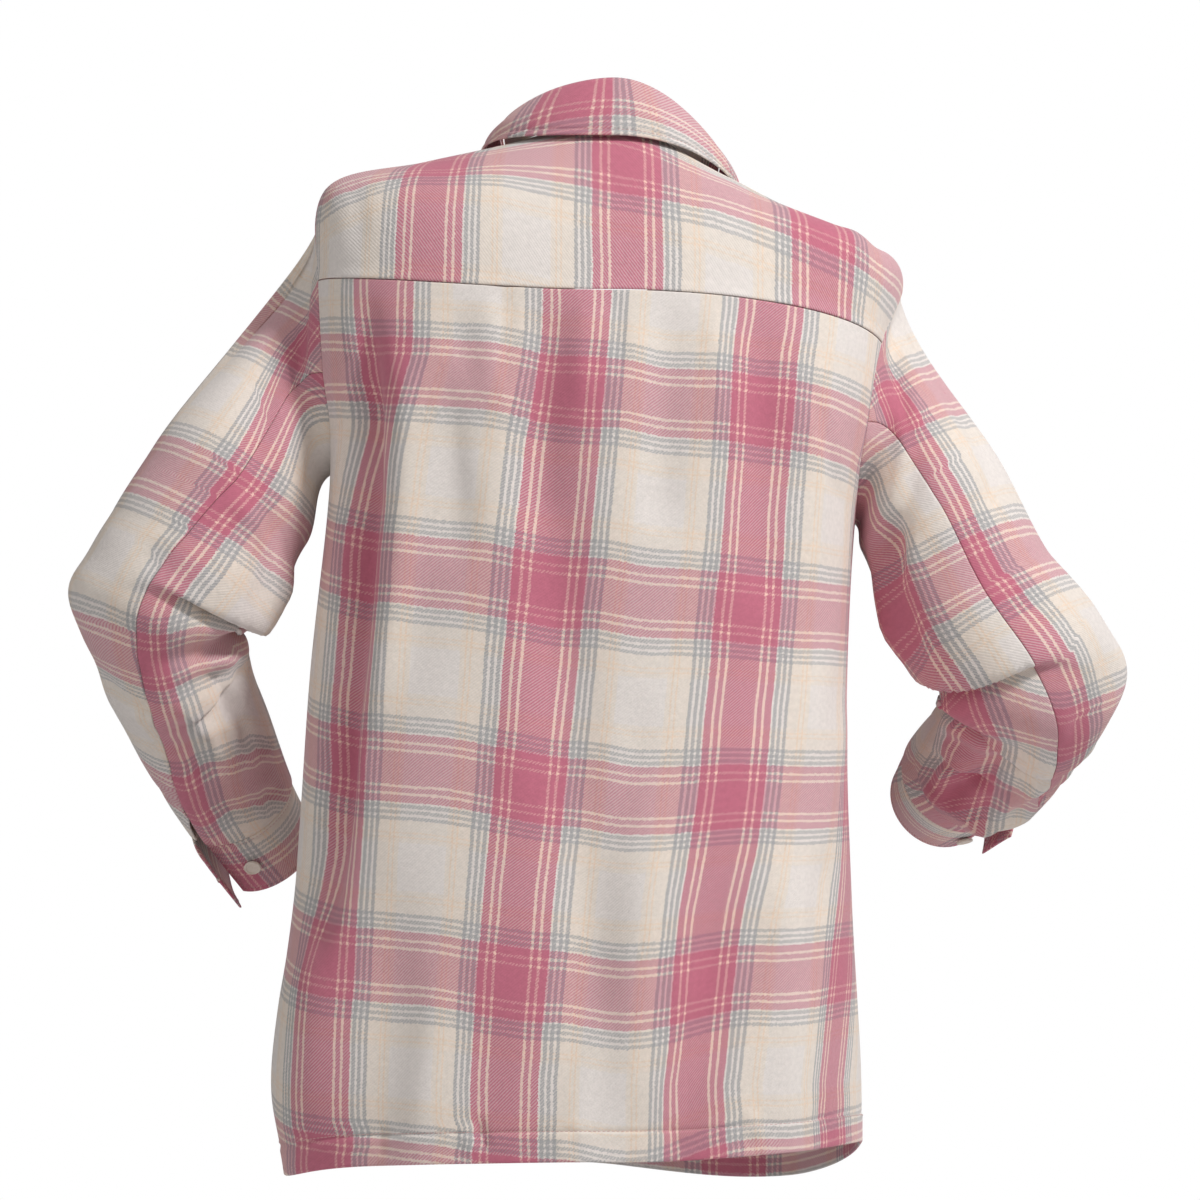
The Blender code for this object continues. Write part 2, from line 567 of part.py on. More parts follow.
def add_cuff(arm, name):
    """A band round the wrist, unbuttoned: its upper end reaches past the vent and stands out as a tab."""
    vent = arm.seam(np.array(CUFF_SECTION), True) + VENT_OPEN
    rows = np.linspace(CUFF_SECTION + CUFF_GAP, LAST_SECTION, 5)
    around = vent + np.linspace(0, 360 - 2 * VENT_OPEN + CUFF_LAP, 31)
    angle = np.repeat(around[None], len(rows), 0)
    section = np.repeat(rows[:, None], len(around), 1)
    lift = TAB_LIFT * np.clip((angle - around[-1] + TAB_REACH) / TAB_REACH, 0, 1) ** 2
    out = arm.facing(arm.plain, angle, section)
    points = arm.plain(angle, section) + (lift - CUFF_INSET)[..., None] * out
    cloth(f"cuff_{name}", points, points - CUFF_CLOTH * out, fabric)
    place, middle = around[3], np.array((CUFF_SECTION + LAST_SECTION) / 2)
    face = arm.facing(arm.plain, place, middle)
    base = arm.plain(place, middle) - CUFF_INSET * face
    add_button(f"cuff_button_{name}", base, face, CUFF_BUTTON_DIAMETER, CUFF_BUTTON_CLEARANCE)


def add_button(name, base, face, diameter, clearance):
    """A turned button with a raised rim, standing just off the cloth."""
    r = diameter / 2
    t = BUTTON_THICKNESS * diameter / BUTTON_DIAMETER
    profile = (
        (0.0, 0.0), (0.62 * r, 0.0), (0.95 * r, 0.30 * t), (r, 0.62 * t), (0.93 * r, 0.95 * t),
        (0.80 * r, t), (0.66 * r, 0.72 * t), (0.0, 0.66 * t),
    )
    sides = BUTTON_SIDES
    face = unit(np.asarray(face, float))
    across = unit(np.cross(face, np.array([0.3, 0.1, 1.0])))
    other = np.cross(face, across)
    foot = np.asarray(base, float) + clearance * face
    verts = [foot + profile[0][1] * face]
    for radius, height in profile[1:-1]:
        for k in range(sides):
            turn = 2 * np.pi * k / sides
            verts.append(foot + height * face + radius * (np.cos(turn) * across + np.sin(turn) * other))
    verts.append(foot + profile[-1][1] * face)
    top = len(verts) - 1
    faces = []
    for k in range(sides):
        after = (k + 1) % sides
        faces.append([0, 1 + after, 1 + k])
        for ring in range(len(profile) - 3):
            low, high = 1 + ring * sides, 1 + (ring + 1) * sides
            faces.append([low + k, low + after, high + after, high + k])
        last = 1 + (len(profile) - 3) * sides
        faces.append([last + k, last + after, top])
    solid(name, verts, faces, button_plastic)


def add_buttons():
    """Fastened buttons lie on the right band, the open ones on the left band."""
    for count, level in enumerate(BUTTON_LEVELS):
        fastened = level < FASTENED_BELOW
        angle = front_edge(np.array(level), -1 if fastened else 1, 0.0)
        face = body_normals(angle, level)
        base = body(angle, level) - (0 if fastened else LAP_DEPTH) * face
        add_button(f"button_{count + 1}", base, face, BUTTON_DIAMETER, BUTTON_CLEARANCE)


def make_material(name, colour, roughness):
    material = bpy.data.materials.new(name)
    material.use_nodes = True
    shader = material.node_tree.nodes["Principled BSDF"]
    shader.inputs["Base Color"].default_value = (*colour, 1)
    shader.inputs["Roughness"].default_value = roughness
    return material


collection = bpy.data.collections.new("shacket")
bpy.context.scene.collection.children.link(collection)
fabric = make_material("flannel", (0.62, 0.36, 0.38), 0.95)
button_plastic = make_material("button_plastic", (0.72, 0.66, 0.58), 0.35)
left_arm = Arm(1, LEFT_SECTIONS, LEFT_SLEEVE_FOLDS, LEFT_BACK_SEAM)
right_arm = Arm(-1, RIGHT_SECTIONS, RIGHT_SLEEVE_FOLDS, RIGHT_BACK_SEAM)

add_body()
add_collar()
add_sleeve(left_arm, "left")
add_sleeve(right_arm, "right")
add_cuff(left_arm, "left")
add_cuff(right_arm, "right")
add_buttons()
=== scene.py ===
"""Plaid flannel shacket, worn, hollow and open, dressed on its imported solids.

Metres, +Z up, the fronts face -Y, +X is the wearer's left. Cloth coordinates are metres on the flat cloth.
"""

import json

import bpy
import numpy as np
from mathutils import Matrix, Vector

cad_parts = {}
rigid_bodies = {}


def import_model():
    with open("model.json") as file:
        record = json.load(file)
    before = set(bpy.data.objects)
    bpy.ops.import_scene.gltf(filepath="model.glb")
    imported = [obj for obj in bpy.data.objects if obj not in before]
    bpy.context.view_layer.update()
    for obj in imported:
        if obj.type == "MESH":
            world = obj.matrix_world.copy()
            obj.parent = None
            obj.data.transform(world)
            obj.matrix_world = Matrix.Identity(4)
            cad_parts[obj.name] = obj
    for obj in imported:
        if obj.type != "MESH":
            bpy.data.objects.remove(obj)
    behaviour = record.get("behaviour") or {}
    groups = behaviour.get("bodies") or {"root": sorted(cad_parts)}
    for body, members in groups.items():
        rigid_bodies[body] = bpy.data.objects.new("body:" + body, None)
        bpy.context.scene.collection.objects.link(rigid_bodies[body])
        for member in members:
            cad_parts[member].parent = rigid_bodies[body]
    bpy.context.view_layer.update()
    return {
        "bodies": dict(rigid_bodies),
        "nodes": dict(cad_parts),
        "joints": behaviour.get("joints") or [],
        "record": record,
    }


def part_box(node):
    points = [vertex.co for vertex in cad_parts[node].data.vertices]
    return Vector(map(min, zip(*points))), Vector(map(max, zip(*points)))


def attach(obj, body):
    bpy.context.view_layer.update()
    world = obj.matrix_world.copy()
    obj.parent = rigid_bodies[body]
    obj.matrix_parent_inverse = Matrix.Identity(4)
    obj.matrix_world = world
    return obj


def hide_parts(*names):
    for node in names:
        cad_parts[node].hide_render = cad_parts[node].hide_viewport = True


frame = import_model()

# Back panel: one flat piece of brushed plaid flannel, cut on the straight grain and sewn under the yoke.
# Its sides are sewn to the fronts and its armhole edges to the sleeves. Its hem is turned up and stitched.
CLOTH = 0.002
EDGE_ROUND = 0.0009
SEAM_ANGLE = 0.1
SEAM_LEVEL = 0.003
EDGE_SHARE = 0.3
HEM_DEPTH = 0.021
HEM_FULLNESS = 0.0007
STITCH_SINK = 0.0007
STITCH_WIDTH = 0.0010
GRID = 0.0031
EDGE_STEPS = np.array([0.0, 0.0003, 0.0008, 0.0016])
MARK_STEPS = np.array([-0.0014, -0.0006, 0.0, 0.0006, 0.0014])
LEAST_STEP = 0.00022
ARMHOLE_STEP = 0.004
LEVEL_NEAR_HEM = 0.05
HEM_TURN = 0.002
HEM_REACH = 1.5
MIDDLE_LEVEL = 2.5
BODY_STEPS = (0.5, 0.01)
FORM_STEPS = (0.6, 0.012)
FOLD_FADE = 0.22
FOLD_FACING = 2.5
CREASE_FADE = 0.3
SHOULDER_CALM = 0.8
RING_COLUMNS = (
    "z_back", "z_front", "z_left", "z_right", "x_left", "x_right", "y_back", "y_front", "power", "twist",
)
RINGS = (
    (-0.754, -0.750, -0.760, -0.737, 0.234, -0.179, 0.142, -0.150, 2.5, 10.0),
    (-0.690, -0.695, -0.692, -0.680, 0.246, -0.179, 0.140, -0.150, 2.5, 9.5),
    (-0.560, -0.570, -0.555, -0.565, 0.231, -0.174, 0.132, -0.148, 2.5, 8.5),
    (-0.405, -0.415, -0.400, -0.425, 0.222, -0.172, 0.121, -0.150, 2.5, 6.0),
    (-0.262, -0.272, -0.248, -0.285, 0.209, -0.180, 0.123, -0.165, 2.5, 2.5),
    (-0.195, -0.205, -0.175, -0.222, 0.220, -0.194, 0.123, -0.162, 2.6, 1.0),
    (-0.136, -0.155, -0.107, -0.159, 0.222, -0.203, 0.115, -0.148, 2.6, 0.0),
    (-0.082, -0.122, -0.033, -0.095, 0.215, -0.215, 0.103, -0.126, 2.5, 0.0),
    (-0.039, -0.102, -0.014, -0.062, 0.145, -0.145, 0.082, -0.105, 2.3, 0.0),
    (0.002, -0.083, 0.000, -0.026, 0.072, -0.070, 0.056, -0.083, 2.1, 0.0),
)
HEM_DROPS = ((26.0, 16.0, 0.004), (10.0, 11.0, -0.006), (222.0, 34.0, 0.020))
ARMPIT_LEVEL = 4.0
YOKE_LEVEL = 6.0
SHOULDER_LEVEL = 7.0
NECK_LEVEL = 9.0
ARMHOLE_BACK = 27.0
ARMHOLE_FRONT = 30.0
ARMHOLE_LEAN = -12.0
FOLD_COLUMNS = ("face", "z_top", "z_low", "x_top", "x_middle", "x_low", "width", "height")
BODY_FOLDS = (
    (1, -0.118, -0.640, 0.178, 0.187, 0.214, 0.0110, -0.0190),
    (1, -0.126, -0.960, 0.052, 0.022, -0.030, 0.024, -0.0070),
    (1, -0.170, -0.470, 0.150, 0.152, 0.172, 0.013, 0.0065),
    (1, -0.128, -0.330, 0.045, 0.052, 0.058, 0.018, -0.0062),
    (1, -0.128, -0.350, 0.110, 0.111, 0.114, 0.016, -0.0048),
    (1, -0.130, -0.330, -0.040, -0.036, -0.034, 0.018, -0.0052),
    (1, -0.135, -0.380, -0.105, -0.108, -0.106, 0.016, -0.0058),
    (1, -0.180, -0.520, -0.150, -0.148, -0.140, 0.016, 0.0060),
    (1, -0.520, -0.950, -0.085, -0.045, 0.010, 0.022, -0.0095),
    (1, -0.480, -0.950, -0.035, 0.000, 0.050, 0.024, 0.0070),
    (1, -0.520, -0.950, -0.135, -0.122, -0.100, 0.020, 0.0080),
    (1, -0.540, -0.950, 0.150, 0.165, 0.185, 0.022, -0.0055),
    (1, -0.560, -0.950, 0.205, 0.222, 0.235, 0.020, 0.0060),
    (1, -0.620, -0.950, 0.085, 0.096, 0.110, 0.020, -0.0035),
    (-1, -0.250, -0.640, 0.100, 0.112, 0.120, 0.022, -0.0070),
    (-1, -0.260, -0.660, -0.090, -0.082, -0.075, 0.022, -0.0060),
    (-1, -0.280, -0.950, 0.165, 0.178, 0.195, 0.020, 0.0070),
    (-1, -0.290, -0.950, -0.130, -0.128, -0.125, 0.020, 0.0070),
    (-1, -0.090, -0.240, 0.118, 0.132, 0.152, 0.016, -0.0045),
    (-1, -0.110, -0.260, -0.118, -0.130, -0.148, 0.016, -0.0045),
)
# Smaller creases from (x_a, z_a) to (x_b, z_b): then how far they bow, their half width and their height.
BACK_CREASES = (
    (0.205, -0.150, 0.165, -0.330, 0.006, 0.007, -0.0028),
    (0.196, -0.330, 0.172, -0.520, -0.004, 0.009, 0.0025),
    (0.120, -0.160, 0.100, -0.300, 0.004, 0.010, 0.0020),
    (0.080, -0.120, 0.076, -0.220, 0.002, 0.008, -0.0020),
    (0.018, -0.124, 0.022, -0.230, -0.002, 0.009, 0.0017),
    (0.000, -0.128, -0.004, -0.210, 0.002, 0.007, -0.0017),
    (-0.070, -0.140, -0.075, -0.260, 0.003, 0.009, 0.0020),
    (-0.145, -0.190, -0.168, -0.300, -0.004, 0.007, -0.0031),
    (-0.160, -0.250, -0.130, -0.430, 0.006, 0.010, -0.0031),
    (-0.168, -0.420, -0.148, -0.560, -0.004, 0.008, 0.0028),
    (0.060, -0.360, 0.078, -0.520, 0.004, 0.014, 0.0018),
    (-0.020, -0.420, 0.006, -0.560, 0.004, 0.013, -0.0020),
    (-0.110, -0.560, -0.060, -0.700, 0.008, 0.010, -0.0036),
    (-0.060, -0.600, -0.010, -0.740, 0.006, 0.010, 0.0031),
    (-0.150, -0.520, -0.120, -0.660, 0.005, 0.008, -0.0031),
    (0.010, -0.640, 0.040, -0.770, 0.004, 0.011, 0.0021),
    (0.120, -0.600, 0.140, -0.760, 0.003, 0.012, 0.0022),
    (0.215, -0.520, 0.232, -0.640, 0.003, 0.010, -0.0022),
    (0.094, -0.722, 0.086, -0.748, 0.000, 0.0030, -0.0031),
    (0.102, -0.726, 0.098, -0.752, 0.000, 0.0035, 0.0022),
    (0.160, -0.728, 0.164, -0.752, 0.000, 0.0045, -0.0014),
    (0.030, -0.728, 0.026, -0.752, 0.000, 0.0045, -0.0013),
    (-0.040, -0.722, -0.044, -0.748, 0.000, 0.0045, -0.0014),
    (-0.092, -0.716, -0.100, -0.742, 0.000, 0.0035, 0.0020),
    (-0.142, -0.708, -0.146, -0.732, 0.000, 0.0045, -0.0014),
)
# How far the warp stands aside and the weft hangs lower, by height and across the back.
EASE_HEIGHTS = (-0.70, -0.60, -0.50, -0.38, -0.26, -0.18)
EASE_ACROSS = (-0.20, -0.10, 0.00, 0.05, 0.15, 0.25)
WARP_EASE = (
    (0.006, 0.008, 0.015, 0.020, 0.032, 0.070),
    (0.007, 0.008, 0.012, 0.013, 0.020, 0.036),
    (0.010, 0.009, 0.008, 0.009, 0.012, 0.018),
    (0.015, 0.011, 0.006, 0.006, 0.009, 0.013),
    (0.022, 0.014, 0.006, 0.007, 0.011, 0.013),
    (0.004, 0.004, 0.005, 0.007, 0.011, 0.014),
)
WEFT_EASE = (
    (0.020, 0.024, 0.018, 0.012, 0.040, 0.050),
    (0.020, 0.022, 0.014, 0.007, 0.027, 0.036),
    (0.016, 0.017, 0.006, -0.001, 0.012, 0.018),
    (0.012, 0.012, 0.002, -0.004, -0.001, 0.002),
    (0.010, 0.011, 0.000, -0.005, -0.003, -0.002),
    (0.008, 0.010, 0.000, -0.006, -0.004, -0.003),
)
BACK_WARP_START = 0.020
BACK_WEFT_START = 0.068


def curve(table, at):
    """Smooth curve (Catmull-Rom) through the rows of a table, read at row numbers that needn't be whole."""
    rows = np.asarray(table, float)
    at = np.clip(np.asarray(at, float), 0, len(rows) - 1)
    first = np.minimum(at.astype(int), len(rows) - 2)
    t = (at - first)[..., None]
    here, after = rows[first], rows[first + 1]
    before = np.where((first > 0)[..., None], rows[np.maximum(first - 1, 0)], 2 * here - after)
    last = np.where(
        (first + 2 < len(rows))[..., None], rows[np.minimum(first + 2, len(rows) - 1)], 2 * after - here
    )
    slope_in, slope_out = (after - before) / 2, (last - here) / 2
    return (
        (2 * t**3 - 3 * t**2 + 1) * here
        + (t**3 - 2 * t**2 + t) * slope_in
        + (3 * t**2 - 2 * t**3) * after
        + (t**3 - t**2) * slope_out
    )


def smooth(value):
    """0 below 0, 1 above 1 and an even ramp between."""
    value = np.clip(value, 0, 1)
    return value * value * (3 - 2 * value)


def unit(vectors):
    return vectors / np.maximum(np.linalg.norm(vectors, axis=-1, keepdims=True), 1e-9)


def body_base(angle, level):
    """The body without folds. Angle 0 is the wearer's left, 90 the back, 180 the right and 270 the front."""
    angle, level = np.broadcast_arrays(np.asarray(angle, float), np.asarray(level, float))
    ring = dict(zip(RING_COLUMNS, np.moveaxis(curve(RINGS, level), -1, 0)))
    turn = np.radians(angle - ring["twist"] * np.sin(np.radians(angle)))
    c, s = np.cos(turn), np.sin(turn)
    size = (np.abs(c) ** ring["power"] + np.abs(s) ** ring["power"]) ** (-1 / ring["power"])
    x = size * c * np.where(c > 0, ring["x_left"], -ring["x_right"])
    y = size * s * np.where(s > 0, ring["y_back"], -ring["y_front"])
    side = np.where(c > 0, ring["z_left"], ring["z_right"])
    end = np.where(s > 0, ring["z_back"], ring["z_front"])
    z = side * c**2 + end * s**2
    for middle, reach, drop in HEM_DROPS:
        off = (angle - middle + 180) % 360 - 180
        z = z - drop * np.exp(-((off / reach) ** 2)) * smooth(1 - level / HEM_REACH)
    return np.stack([x, y, z], -1)


def normals(surface, u, v, step_u, step_v):
    """Outward normals of a surface of angle and level, by differences."""
    along_u = surface(u + step_u, v) - surface(u - step_u, v)
    along_v = surface(u, v + step_v) - surface(u, v - step_v)
    return unit(np.cross(along_u, along_v))


def fold_heights(points, facing):
    """How far the body's folds move each point out. A fold fades towards both of its ends."""
    total = np.zeros(points.shape[:-1])
    for row in BODY_FOLDS:
        fold = dict(zip(FOLD_COLUMNS, row))
        t = (fold["z_top"] - points[..., 2]) / (fold["z_top"] - fold["z_low"])
        line = (1 - t) * fold["x_top"] + t * fold["x_low"]
        line += 4 * t * (1 - t) * (fold["x_middle"] - (fold["x_top"] + fold["x_low"]) / 2)
        fade = smooth(t / FOLD_FADE) * smooth((1 - t) / FOLD_FADE)
        shown = smooth(facing * fold["face"] * FOLD_FACING)
        total += fold["height"] * fade * shown * np.exp(-(((points[..., 0] - line) / fold["width"]) ** 2))
    return total


def crease_heights(table, across, down):
    """Heights of small creases, each a soft line between two points that fades at both ends."""
    total = np.zeros(np.shape(across))
    for x_a, z_a, x_b, z_b, bow, width, height in table:
        run = np.hypot(x_b - x_a, z_b - z_a)
        along = np.array([x_b - x_a, z_b - z_a]) / run
        t = ((across - x_a) * along[0] + (down - z_a) * along[1]) / run
        aside = (across - x_a) * along[1] - (down - z_a) * along[0] - bow * 4 * t * (1 - t)
        beside = np.exp(-((aside / width) ** 2))
        total += height * smooth(t / CREASE_FADE) * smooth((1 - t) / CREASE_FADE) * beside
    return total


def body_form(creases):
    """The body's outer surface with its folds and the creases of one panel."""

    def surface(angle, level):
        points = body_base(angle, level)
        angle, level = np.asarray(angle, float), np.asarray(level, float)
        out = normals(body_base, angle, level, *BODY_STEPS)
        calm = np.clip((SHOULDER_LEVEL - level) / SHOULDER_CALM, 0, 1)
        height = fold_heights(points, out[..., 1]) * calm
        height = height + crease_heights(creases, points[..., 0], points[..., 2])
        return points + height[..., None] * out

    return surface


def armhole_angle(level, back):
    """The armhole's edge on the wearer's left at a level, and the side seam below the armpit."""
    level = np.asarray(level, float)
    middle = (ARMPIT_LEVEL + SHOULDER_LEVEL) / 2
    half = (SHOULDER_LEVEL - ARMPIT_LEVEL) / 2
    up = np.clip((level - ARMPIT_LEVEL) / (2 * half), 0, 1)
    width = np.sqrt(np.clip(1 - ((level - middle) / half) ** 2, 0, 1))
    return ARMHOLE_LEAN * up + (ARMHOLE_BACK if back else -ARMHOLE_FRONT) * width


def armhole_levels(angles):
    """Levels on the body at angles round the armhole."""
    half = (SHOULDER_LEVEL - ARMPIT_LEVEL) / 2
    return ARMPIT_LEVEL + half + half * np.cos(np.radians(np.asarray(angles, float)))


def run_lengths(points, axis):
    """Length along a grid of points from its first row or column."""
    steps = np.linalg.norm(np.diff(points, axis=axis), axis=-1)
    first = np.zeros_like(np.take(steps, [0], axis))
    return np.concatenate([first, np.cumsum(steps, axis)], axis)


def even_steps(line, low, high, spacing, marks=()):
    """Values from low to high that step evenly along a line of points, closer at both ends and at marks."""
    values = np.linspace(low, high, 600)
    lengths = run_lengths(line(values), 0)
    total = lengths[-1]
    wanted = [np.linspace(0, total, max(4, int(total / spacing))), EDGE_STEPS, total - EDGE_STEPS]
    for mark in marks:
        place = mark if mark > 0 else total + mark
        wanted.append(place + MARK_STEPS)
    wanted = np.sort(np.concatenate(wanted))
    kept = [wanted[0]]
    for value in wanted[1:]:
        if value - kept[-1] > LEAST_STEP:
            kept.append(value)
    kept[-1] = total
    return np.interp(kept, lengths, values)


def edge_dip(points):
    """How far the cloth's faces draw together at its edges, so that each edge is rounded."""
    dip = np.zeros(points.shape[:2])
    for axis in (0, 1):
        lengths = run_lengths(points, axis)
        for distance in (lengths, np.take(lengths, [-1], axis) - lengths):
            inside = np.clip(1 - distance / (2 * EDGE_ROUND), 0, 1)
            dip = np.maximum(dip, EDGE_ROUND * (1 - np.sqrt(1 - inside**2)))
    return dip


def grid_normals(points, hint):
    """Outward normals of a grid of points, on the side of the hint."""
    facing = unit(np.cross(np.gradient(points, axis=0), np.gradient(points, axis=1)))
    return facing * np.sign((facing * hint).sum())


def shell(name, outer, out, thickness, cloth_at):
    """A closed sheet of cloth from its outer points, with the flat cloth's coordinates on each point."""
    dip = edge_dip(outer)[..., None]
    inner = outer - thickness * out + dip * out
    outer = outer - dip * out
    rows, cols = outer.shape[:2]
    index = np.arange(rows * cols).reshape(rows, cols)
    a, b, c, d = index[:-1, :-1], index[:-1, 1:], index[1:, 1:], index[1:, :-1]
    face = np.stack([a, b, c, d], -1).reshape(-1, 4)
    back = face[:, ::-1] + rows * cols
    rim = np.concatenate([index[0, :-1], index[:-1, -1], index[-1, :0:-1], index[:0:-1, 0]])
    after = np.roll(rim, -1)
    edge = np.stack([after, rim, rim + rows * cols, after + rows * cols], -1)
    faces = np.concatenate([face, back, edge])
    verts = np.concatenate([outer.reshape(-1, 3), inner.reshape(-1, 3)])
    corners = verts[face]
    facing = np.cross(corners[:, 1] - corners[:, 0], corners[:, 3] - corners[:, 0])
    if (facing * np.broadcast_to(out, outer.shape)[:-1, :-1].reshape(-1, 3)).sum() < 0:
        faces = faces[:, ::-1]
    mesh = bpy.data.meshes.new(name)
    mesh.from_pydata(verts.tolist(), [], faces.tolist())
    mesh.polygons.foreach_set("use_smooth", np.ones(len(mesh.polygons), bool))
    place = np.concatenate([cloth_at.reshape(-1, 3)] * 2)
    mesh.attributes.new("cloth", "FLOAT_VECTOR", "POINT").data.foreach_set("vector", place.ravel())
    mesh.update()
    piece = bpy.data.objects.new(name, mesh)
    bpy.context.scene.collection.objects.link(piece)
    return piece


def paint(red, green, blue):
    """A colour that is named in screen values, in the linear values that shaders use."""
    value = np.array([red, green, blue]) / 255
    return (*np.where(value < 0.04045, value / 12.92, ((value + 0.055) / 1.055) ** 2.4), 1.0)


def add_node(tree, kind, inputs=(), **settings):
    """A shader node with its settings, its values and its links."""
    made = tree.nodes.new(kind)
    for name, value in settings.items():
        setattr(made, name, value)
    for name, value in dict(inputs).items():
        if isinstance(value, bpy.types.NodeSocket):
            tree.links.new(value, made.inputs[name])
        else:
            made.inputs[name].default_value = value
    return made


def maths(tree, operation, *values):
    made = tree.nodes.new("ShaderNodeMath")
    made.operation = operation
    for place, value in enumerate(values):
        if isinstance(value, bpy.types.NodeSocket):
            tree.links.new(value, made.inputs[place])
        else:
            made.inputs[place].default_value = value
    return made.outputs[0]


def mixed(tree, kind, share, first, second):
    """A mix of two colours."""
    made = tree.nodes.new("ShaderNodeMix")
    made.data_type = "RGBA"
    made.blend_type = kind
    for place, value in ((0, share), (6, first), (7, second)):
        if isinstance(value, bpy.types.NodeSocket):
            tree.links.new(value, made.inputs[place])
        else:
            made.inputs[place].default_value = value
    return made.outputs[2]


# The sett from the middle of a pink band to the middle of a pale field: width in mm and yarn of each stripe.
YARNS = {
    "pink": paint(193, 110, 130),
    "cream line": paint(236, 198, 186),
    "white": paint(226, 218, 213),
    "grey": paint(168, 166, 166),
    "cream": paint(228, 215, 203),
    "peach": paint(230, 206, 184),
}
SETT = (
    (12.2, "pink"),
    (1.9, "cream line"),
    (3.7, "pink"),
    (1.9, "cream line"),
    (5.5, "pink"),
    (1.6, "white"),
    (2.6, "grey"),
    (1.9, "white"),
    (2.6, "grey"),
    (1.9, "white"),
    (2.5, "grey"),
    (8.9, "cream"),
    (1.1, "peach"),
    (2.3, "cream"),
    (1.1, "peach"),
    (3.4, "cream"),
    (17.9, "white"),
)
SETT_HALF = 0.073
YARN = 0.00062
WANDER_SCALE = 14.0
WANDER = 0.0036
FRAY_SCALE = 900.0
FRAY = 0.0034
FUZZ_SCALE = 700.0
TONE_SCALE = 260.0
PILE_SCALE = 480.0
LOOSE_FIBRE = 0.9
TWILL_BOUNDS = {"From Min": 0.30, "From Max": 0.78, "To Min": 0.94, "To Max": 0.32}
TONE_BOUNDS = {"From Min": 0.3, "From Max": 0.7, "To Min": 0.95, "To Max": 1.05}
DARKER_YARN = 0.42
TWILL_HEIGHT = 0.5
PILE_HEIGHT = 0.9


def noise_value(tree, place, scale, detail):
    """A noise between 0 and 1 at a place on the cloth or thread."""
    made = add_node(tree, "ShaderNodeTexNoise", {"Vector": place, "Scale": scale, "Detail": detail})
    return made.outputs["Fac"]


def moved_by_noise(tree, place, scale, reach):
    """A small shift that wanders over the cloth."""
    inputs = {"Vector": place, "Scale": scale, "Detail": 2.0}
    noise = add_node(tree, "ShaderNodeTexNoise", inputs).outputs["Color"]
    even = add_node(tree, "ShaderNodeVectorMath", {0: noise, 1: (0.5, 0.5, 0.5)}, operation="SUBTRACT")
    inputs = {0: even.outputs[0], "Scale": reach}
    return add_node(tree, "ShaderNodeVectorMath", inputs, operation="SCALE").outputs[0]


def plaid_group():
    """Yarn-dyed plaid in a 2/2 twill on the flat cloth's coordinates: its colour and the weave's height."""
    tree = bpy.data.node_groups.new("plaid twill", "ShaderNodeTree")
    tree.interface.new_socket("Colour", in_out="OUTPUT", socket_type="NodeSocketColor")
    tree.interface.new_socket("Height", in_out="OUTPUT", socket_type="NodeSocketFloat")
    out = tree.nodes.new("NodeGroupOutput")
    place = add_node(tree, "ShaderNodeAttribute", attribute_name="cloth").outputs["Vector"]
    shift = moved_by_noise(tree, place, WANDER_SCALE, WANDER)
    rough = moved_by_noise(tree, place, FRAY_SCALE, FRAY)
    moved = add_node(tree, "ShaderNodeVectorMath", {0: place, 1: shift}, operation="ADD").outputs[0]
    split = add_node(tree, "ShaderNodeSeparateXYZ", {0: moved}).outputs
    turned = add_node(tree, "ShaderNodeSeparateXYZ", {0: place}).outputs["Z"]
    frayed = add_node(tree, "ShaderNodeSeparateXYZ", {0: rough}).outputs
    colours = []
    for axis in ("X", "Y"):
        value = maths(tree, "ADD", split[axis], frayed[axis])
        value = maths(tree, "DIVIDE", maths(tree, "PINGPONG", value, SETT_HALF), SETT_HALF)
        ramp = add_node(tree, "ShaderNodeValToRGB", {0: value})
        stops = ramp.color_ramp
        stops.interpolation = "CONSTANT"
        start = 0.0
        for count, (width, yarn) in enumerate(SETT):
            stop = stops.elements[0] if count == 0 else stops.elements.new(start)
            stop.position = start
            stop.color = YARNS[yarn]
            start += width * 0.001 / SETT_HALF
        stops.elements.remove(stops.elements[len(SETT)])
        colours.append(ramp.outputs["Color"])
    warp, weft = colours
    slope = maths(tree, "MULTIPLY", split["Y"], turned)
    line = maths(tree, "DIVIDE", maths(tree, "ADD", split["X"], slope), 4 * YARN)
    wave = maths(tree, "MULTIPLY", maths(tree, "PINGPONG", line, 0.5), 2.0)
    fuzz = noise_value(tree, place, FUZZ_SCALE, 3.0)
    loose = maths(tree, "MULTIPLY", maths(tree, "SUBTRACT", fuzz, 0.5), LOOSE_FIBRE)
    twill = maths(tree, "ADD", wave, loose)
    inputs = {"Value": twill, **TWILL_BOUNDS}
    over = add_node(tree, "ShaderNodeMapRange", inputs, interpolation_type="SMOOTHSTEP").outputs[0]
    colour = mixed(tree, "MIX", over, weft, warp)
    dark = mixed(tree, "DARKEN", 1.0, warp, weft)
    colour = mixed(tree, "MIX", DARKER_YARN, colour, dark)
    tone = noise_value(tree, place, TONE_SCALE, 4.0)
    tone = add_node(tree, "ShaderNodeMapRange", {"Value": tone, **TONE_BOUNDS}).outputs[0]
    grey = add_node(tree, "ShaderNodeCombineColor", {0: tone, 1: tone, 2: tone}).outputs[0]
    colour = mixed(tree, "MULTIPLY", 1.0, colour, grey)
    tree.links.new(colour, out.inputs["Colour"])
    pile = noise_value(tree, place, PILE_SCALE, 5.0)
    raised = maths(tree, "MULTIPLY", over, TWILL_HEIGHT)
    height = maths(tree, "ADD", raised, maths(tree, "MULTIPLY", pile, PILE_HEIGHT))
    tree.links.new(height, out.inputs["Height"])
    return tree


